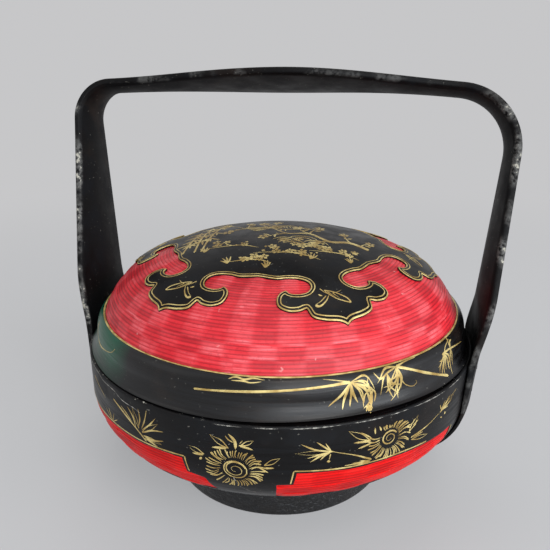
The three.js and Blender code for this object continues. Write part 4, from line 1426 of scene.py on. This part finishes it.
def gold_work():
    on_lid, on_basket = Brush(), Brush()
    painted_skin = Skin(bowl_outline(-PANEL_SINK, RIM_Z, FOOT_HEIGHT + GAP))
    on_bowl = unrolled(painted_skin, RIM_RADIUS, lambda turn: LACQUER_LIFT)
    on_band = unrolled(band_skin, BAND_RADIUS, band_wobble, band_warp)
    gold_line(on_lid)
    for inset, width in ((0.75, 0.8), (3.0, 0.7)):
        Canvas(on_lid, on_collar_edge).stroke(offset_loop(COLLAR_LOOP, inset), width, closed=True,
                                              lift=0.22)
    for k in range(LOBES):
        lobe_sprig(Canvas(on_lid, on_crown), COLLAR_TURN + (k + 0.5) * 360 / LOBES,
                   -1 if k % 2 else 1)
    crown_painting(Canvas(on_lid, lambda flat, lift: on_crown(flat * (-1.15, 1.3) - (0, 22), lift)))
    for half_turn in (0, 180):
        band_painting(Canvas(on_lid, on_band, BAND_RADIUS, half_turn))
        bowl_painting(Canvas(on_basket, on_bowl, RIM_RADIUS, half_turn))
    Canvas(on_lid, on_band, BAND_RADIUS).line(
        [(-61, 24), (-58, 14), (-52.4, 12.4), (-46, 15.4), (-42.6, 18.6), (-41.2, 22.4)], 1.6)
    panel_lines(Canvas(on_basket, on_bowl, RIM_RADIUS))
    cracks_and_lip_highlight(on_bowl)
    on_lid.finish("gold_brushwork_lid", "lid", "black_lacquer", gold)
    on_basket.finish("gold_brushwork_basket", "basket", "black_lacquer", gold)


bowl()
hoops()
lid_dome()
lid_band()
cloud_collar()
handle()
pegs()
gold_work()


# Floor, light and camera
FLOOR_COLOUR = (0.57, 0.57, 0.58)
SKY = (0.9, 0.95, 1.0)
WARM = (1.0, 0.99, 0.97)
# Each lamp as turn, elevation, metres away, width, height, watts, colour
LAMPS = {"key": (30, 52, 3.2, 1.7, 1.7, 30, WARM), "fill": (-60, 32, 3.4, 2.0, 2.0, 6, WARM),
         "top": (175, 72, 3.2, 2.0, 2.0, 20, WARM), "window": (46, 15, 3.4, 5.2, 2.2, 150, SKY)}
LAMP_AIM = Vector((0, 0, 0.15))
CAMERA_TURN = 11.66
CAMERA_ELEVATION = 18.26
CAMERA_GAP = 492.7
CAMERA_AIM_HEIGHT = 173.4
CAMERA_ASIDE = 4.84       # the basket stands this far to the right of the picture's middle
CAMERA_LENS = 36.65


def bearing(turn, elevation):
    """Direction from the basket, by a turn from the front and an elevation."""
    a, e = math.radians(turn), math.radians(elevation)
    return Vector((math.sin(a) * math.cos(e), -math.cos(a) * math.cos(e), math.sin(e)))


def put_in_scene(name, data, place, facing):
    """An object in the scene whose -Z axis looks along a direction."""
    thing = bpy.data.objects.new(name, data)
    thing.location = place
    thing.rotation_mode = "QUATERNION"
    thing.rotation_quaternion = facing.to_track_quat("-Z", "Y")
    bpy.context.scene.collection.objects.link(thing)
    return thing


def stage():
    bpy.ops.mesh.primitive_circle_add(vertices=128, radius=4.0, fill_type="NGON")
    floor = bpy.context.object
    floor.name = "floor"
    # Seen directly, the floor turns into its own pale colour further out, so that it meets the
    # backdrop evenly
    pale = Paint("floor_pale", Roughness=0.9, Specular_IOR_Level=0.1, Base_Color=(0.62, 0.62, 0.63))
    away = pale.node("VectorMath", pale.where)
    away.operation = "LENGTH"
    glow = pale.node("Emission", FLOOR_COLOUR).outputs["Emission"]
    pale.blend_by_ray(pale.shader.outputs["BSDF"], glow, "Material Output",
                      pale.span(away.outputs["Value"], 0.2, 1.6, 0.5, 1))
    floor.data.materials.append(pale.material)

    world = bpy.data.worlds.new("studio")
    bpy.context.scene.world = world
    world.use_nodes = True
    air = Nodes(world.node_tree)
    light = air.tree.nodes["Background"]
    air.put(light.inputs["Color"], SKY)
    air.put(light.inputs["Strength"], 0.3)
    backdrop = air.node("Background", FLOOR_COLOUR, 1.0)
    air.blend_by_ray(light.outputs["Background"], backdrop.outputs["Background"], "World Output")

    for name, (turn, elevation, gap, width, height, power, colour) in LAMPS.items():
        lamp = bpy.data.lights.new(name, "AREA")
        lamp.shape = "RECTANGLE"
        lamp.size = width
        lamp.size_y = height
        lamp.energy = power
        lamp.color = colour
        back = bearing(turn, elevation)
        put_in_scene(name, lamp, LAMP_AIM + back * gap, -back)


def camera():
    """The photograph's view: from the right front, a little above the lid."""
    turn = math.radians(CAMERA_TURN)
    side = Vector((math.cos(turn), math.sin(turn), 0))
    middle = Vector((0, 0, CAMERA_AIM_HEIGHT))
    eye = middle + bearing(CAMERA_TURN, CAMERA_ELEVATION) * CAMERA_GAP
    lens = bpy.data.cameras.new("camera")
    lens.lens = CAMERA_LENS
    lens.sensor_width = 36
    view = put_in_scene("camera", lens, eye * MM, middle - side * CAMERA_ASIDE - eye)
    bpy.context.scene.camera = view


stage()
camera()
bpy.context.scene.view_settings.view_transform = "Standard"
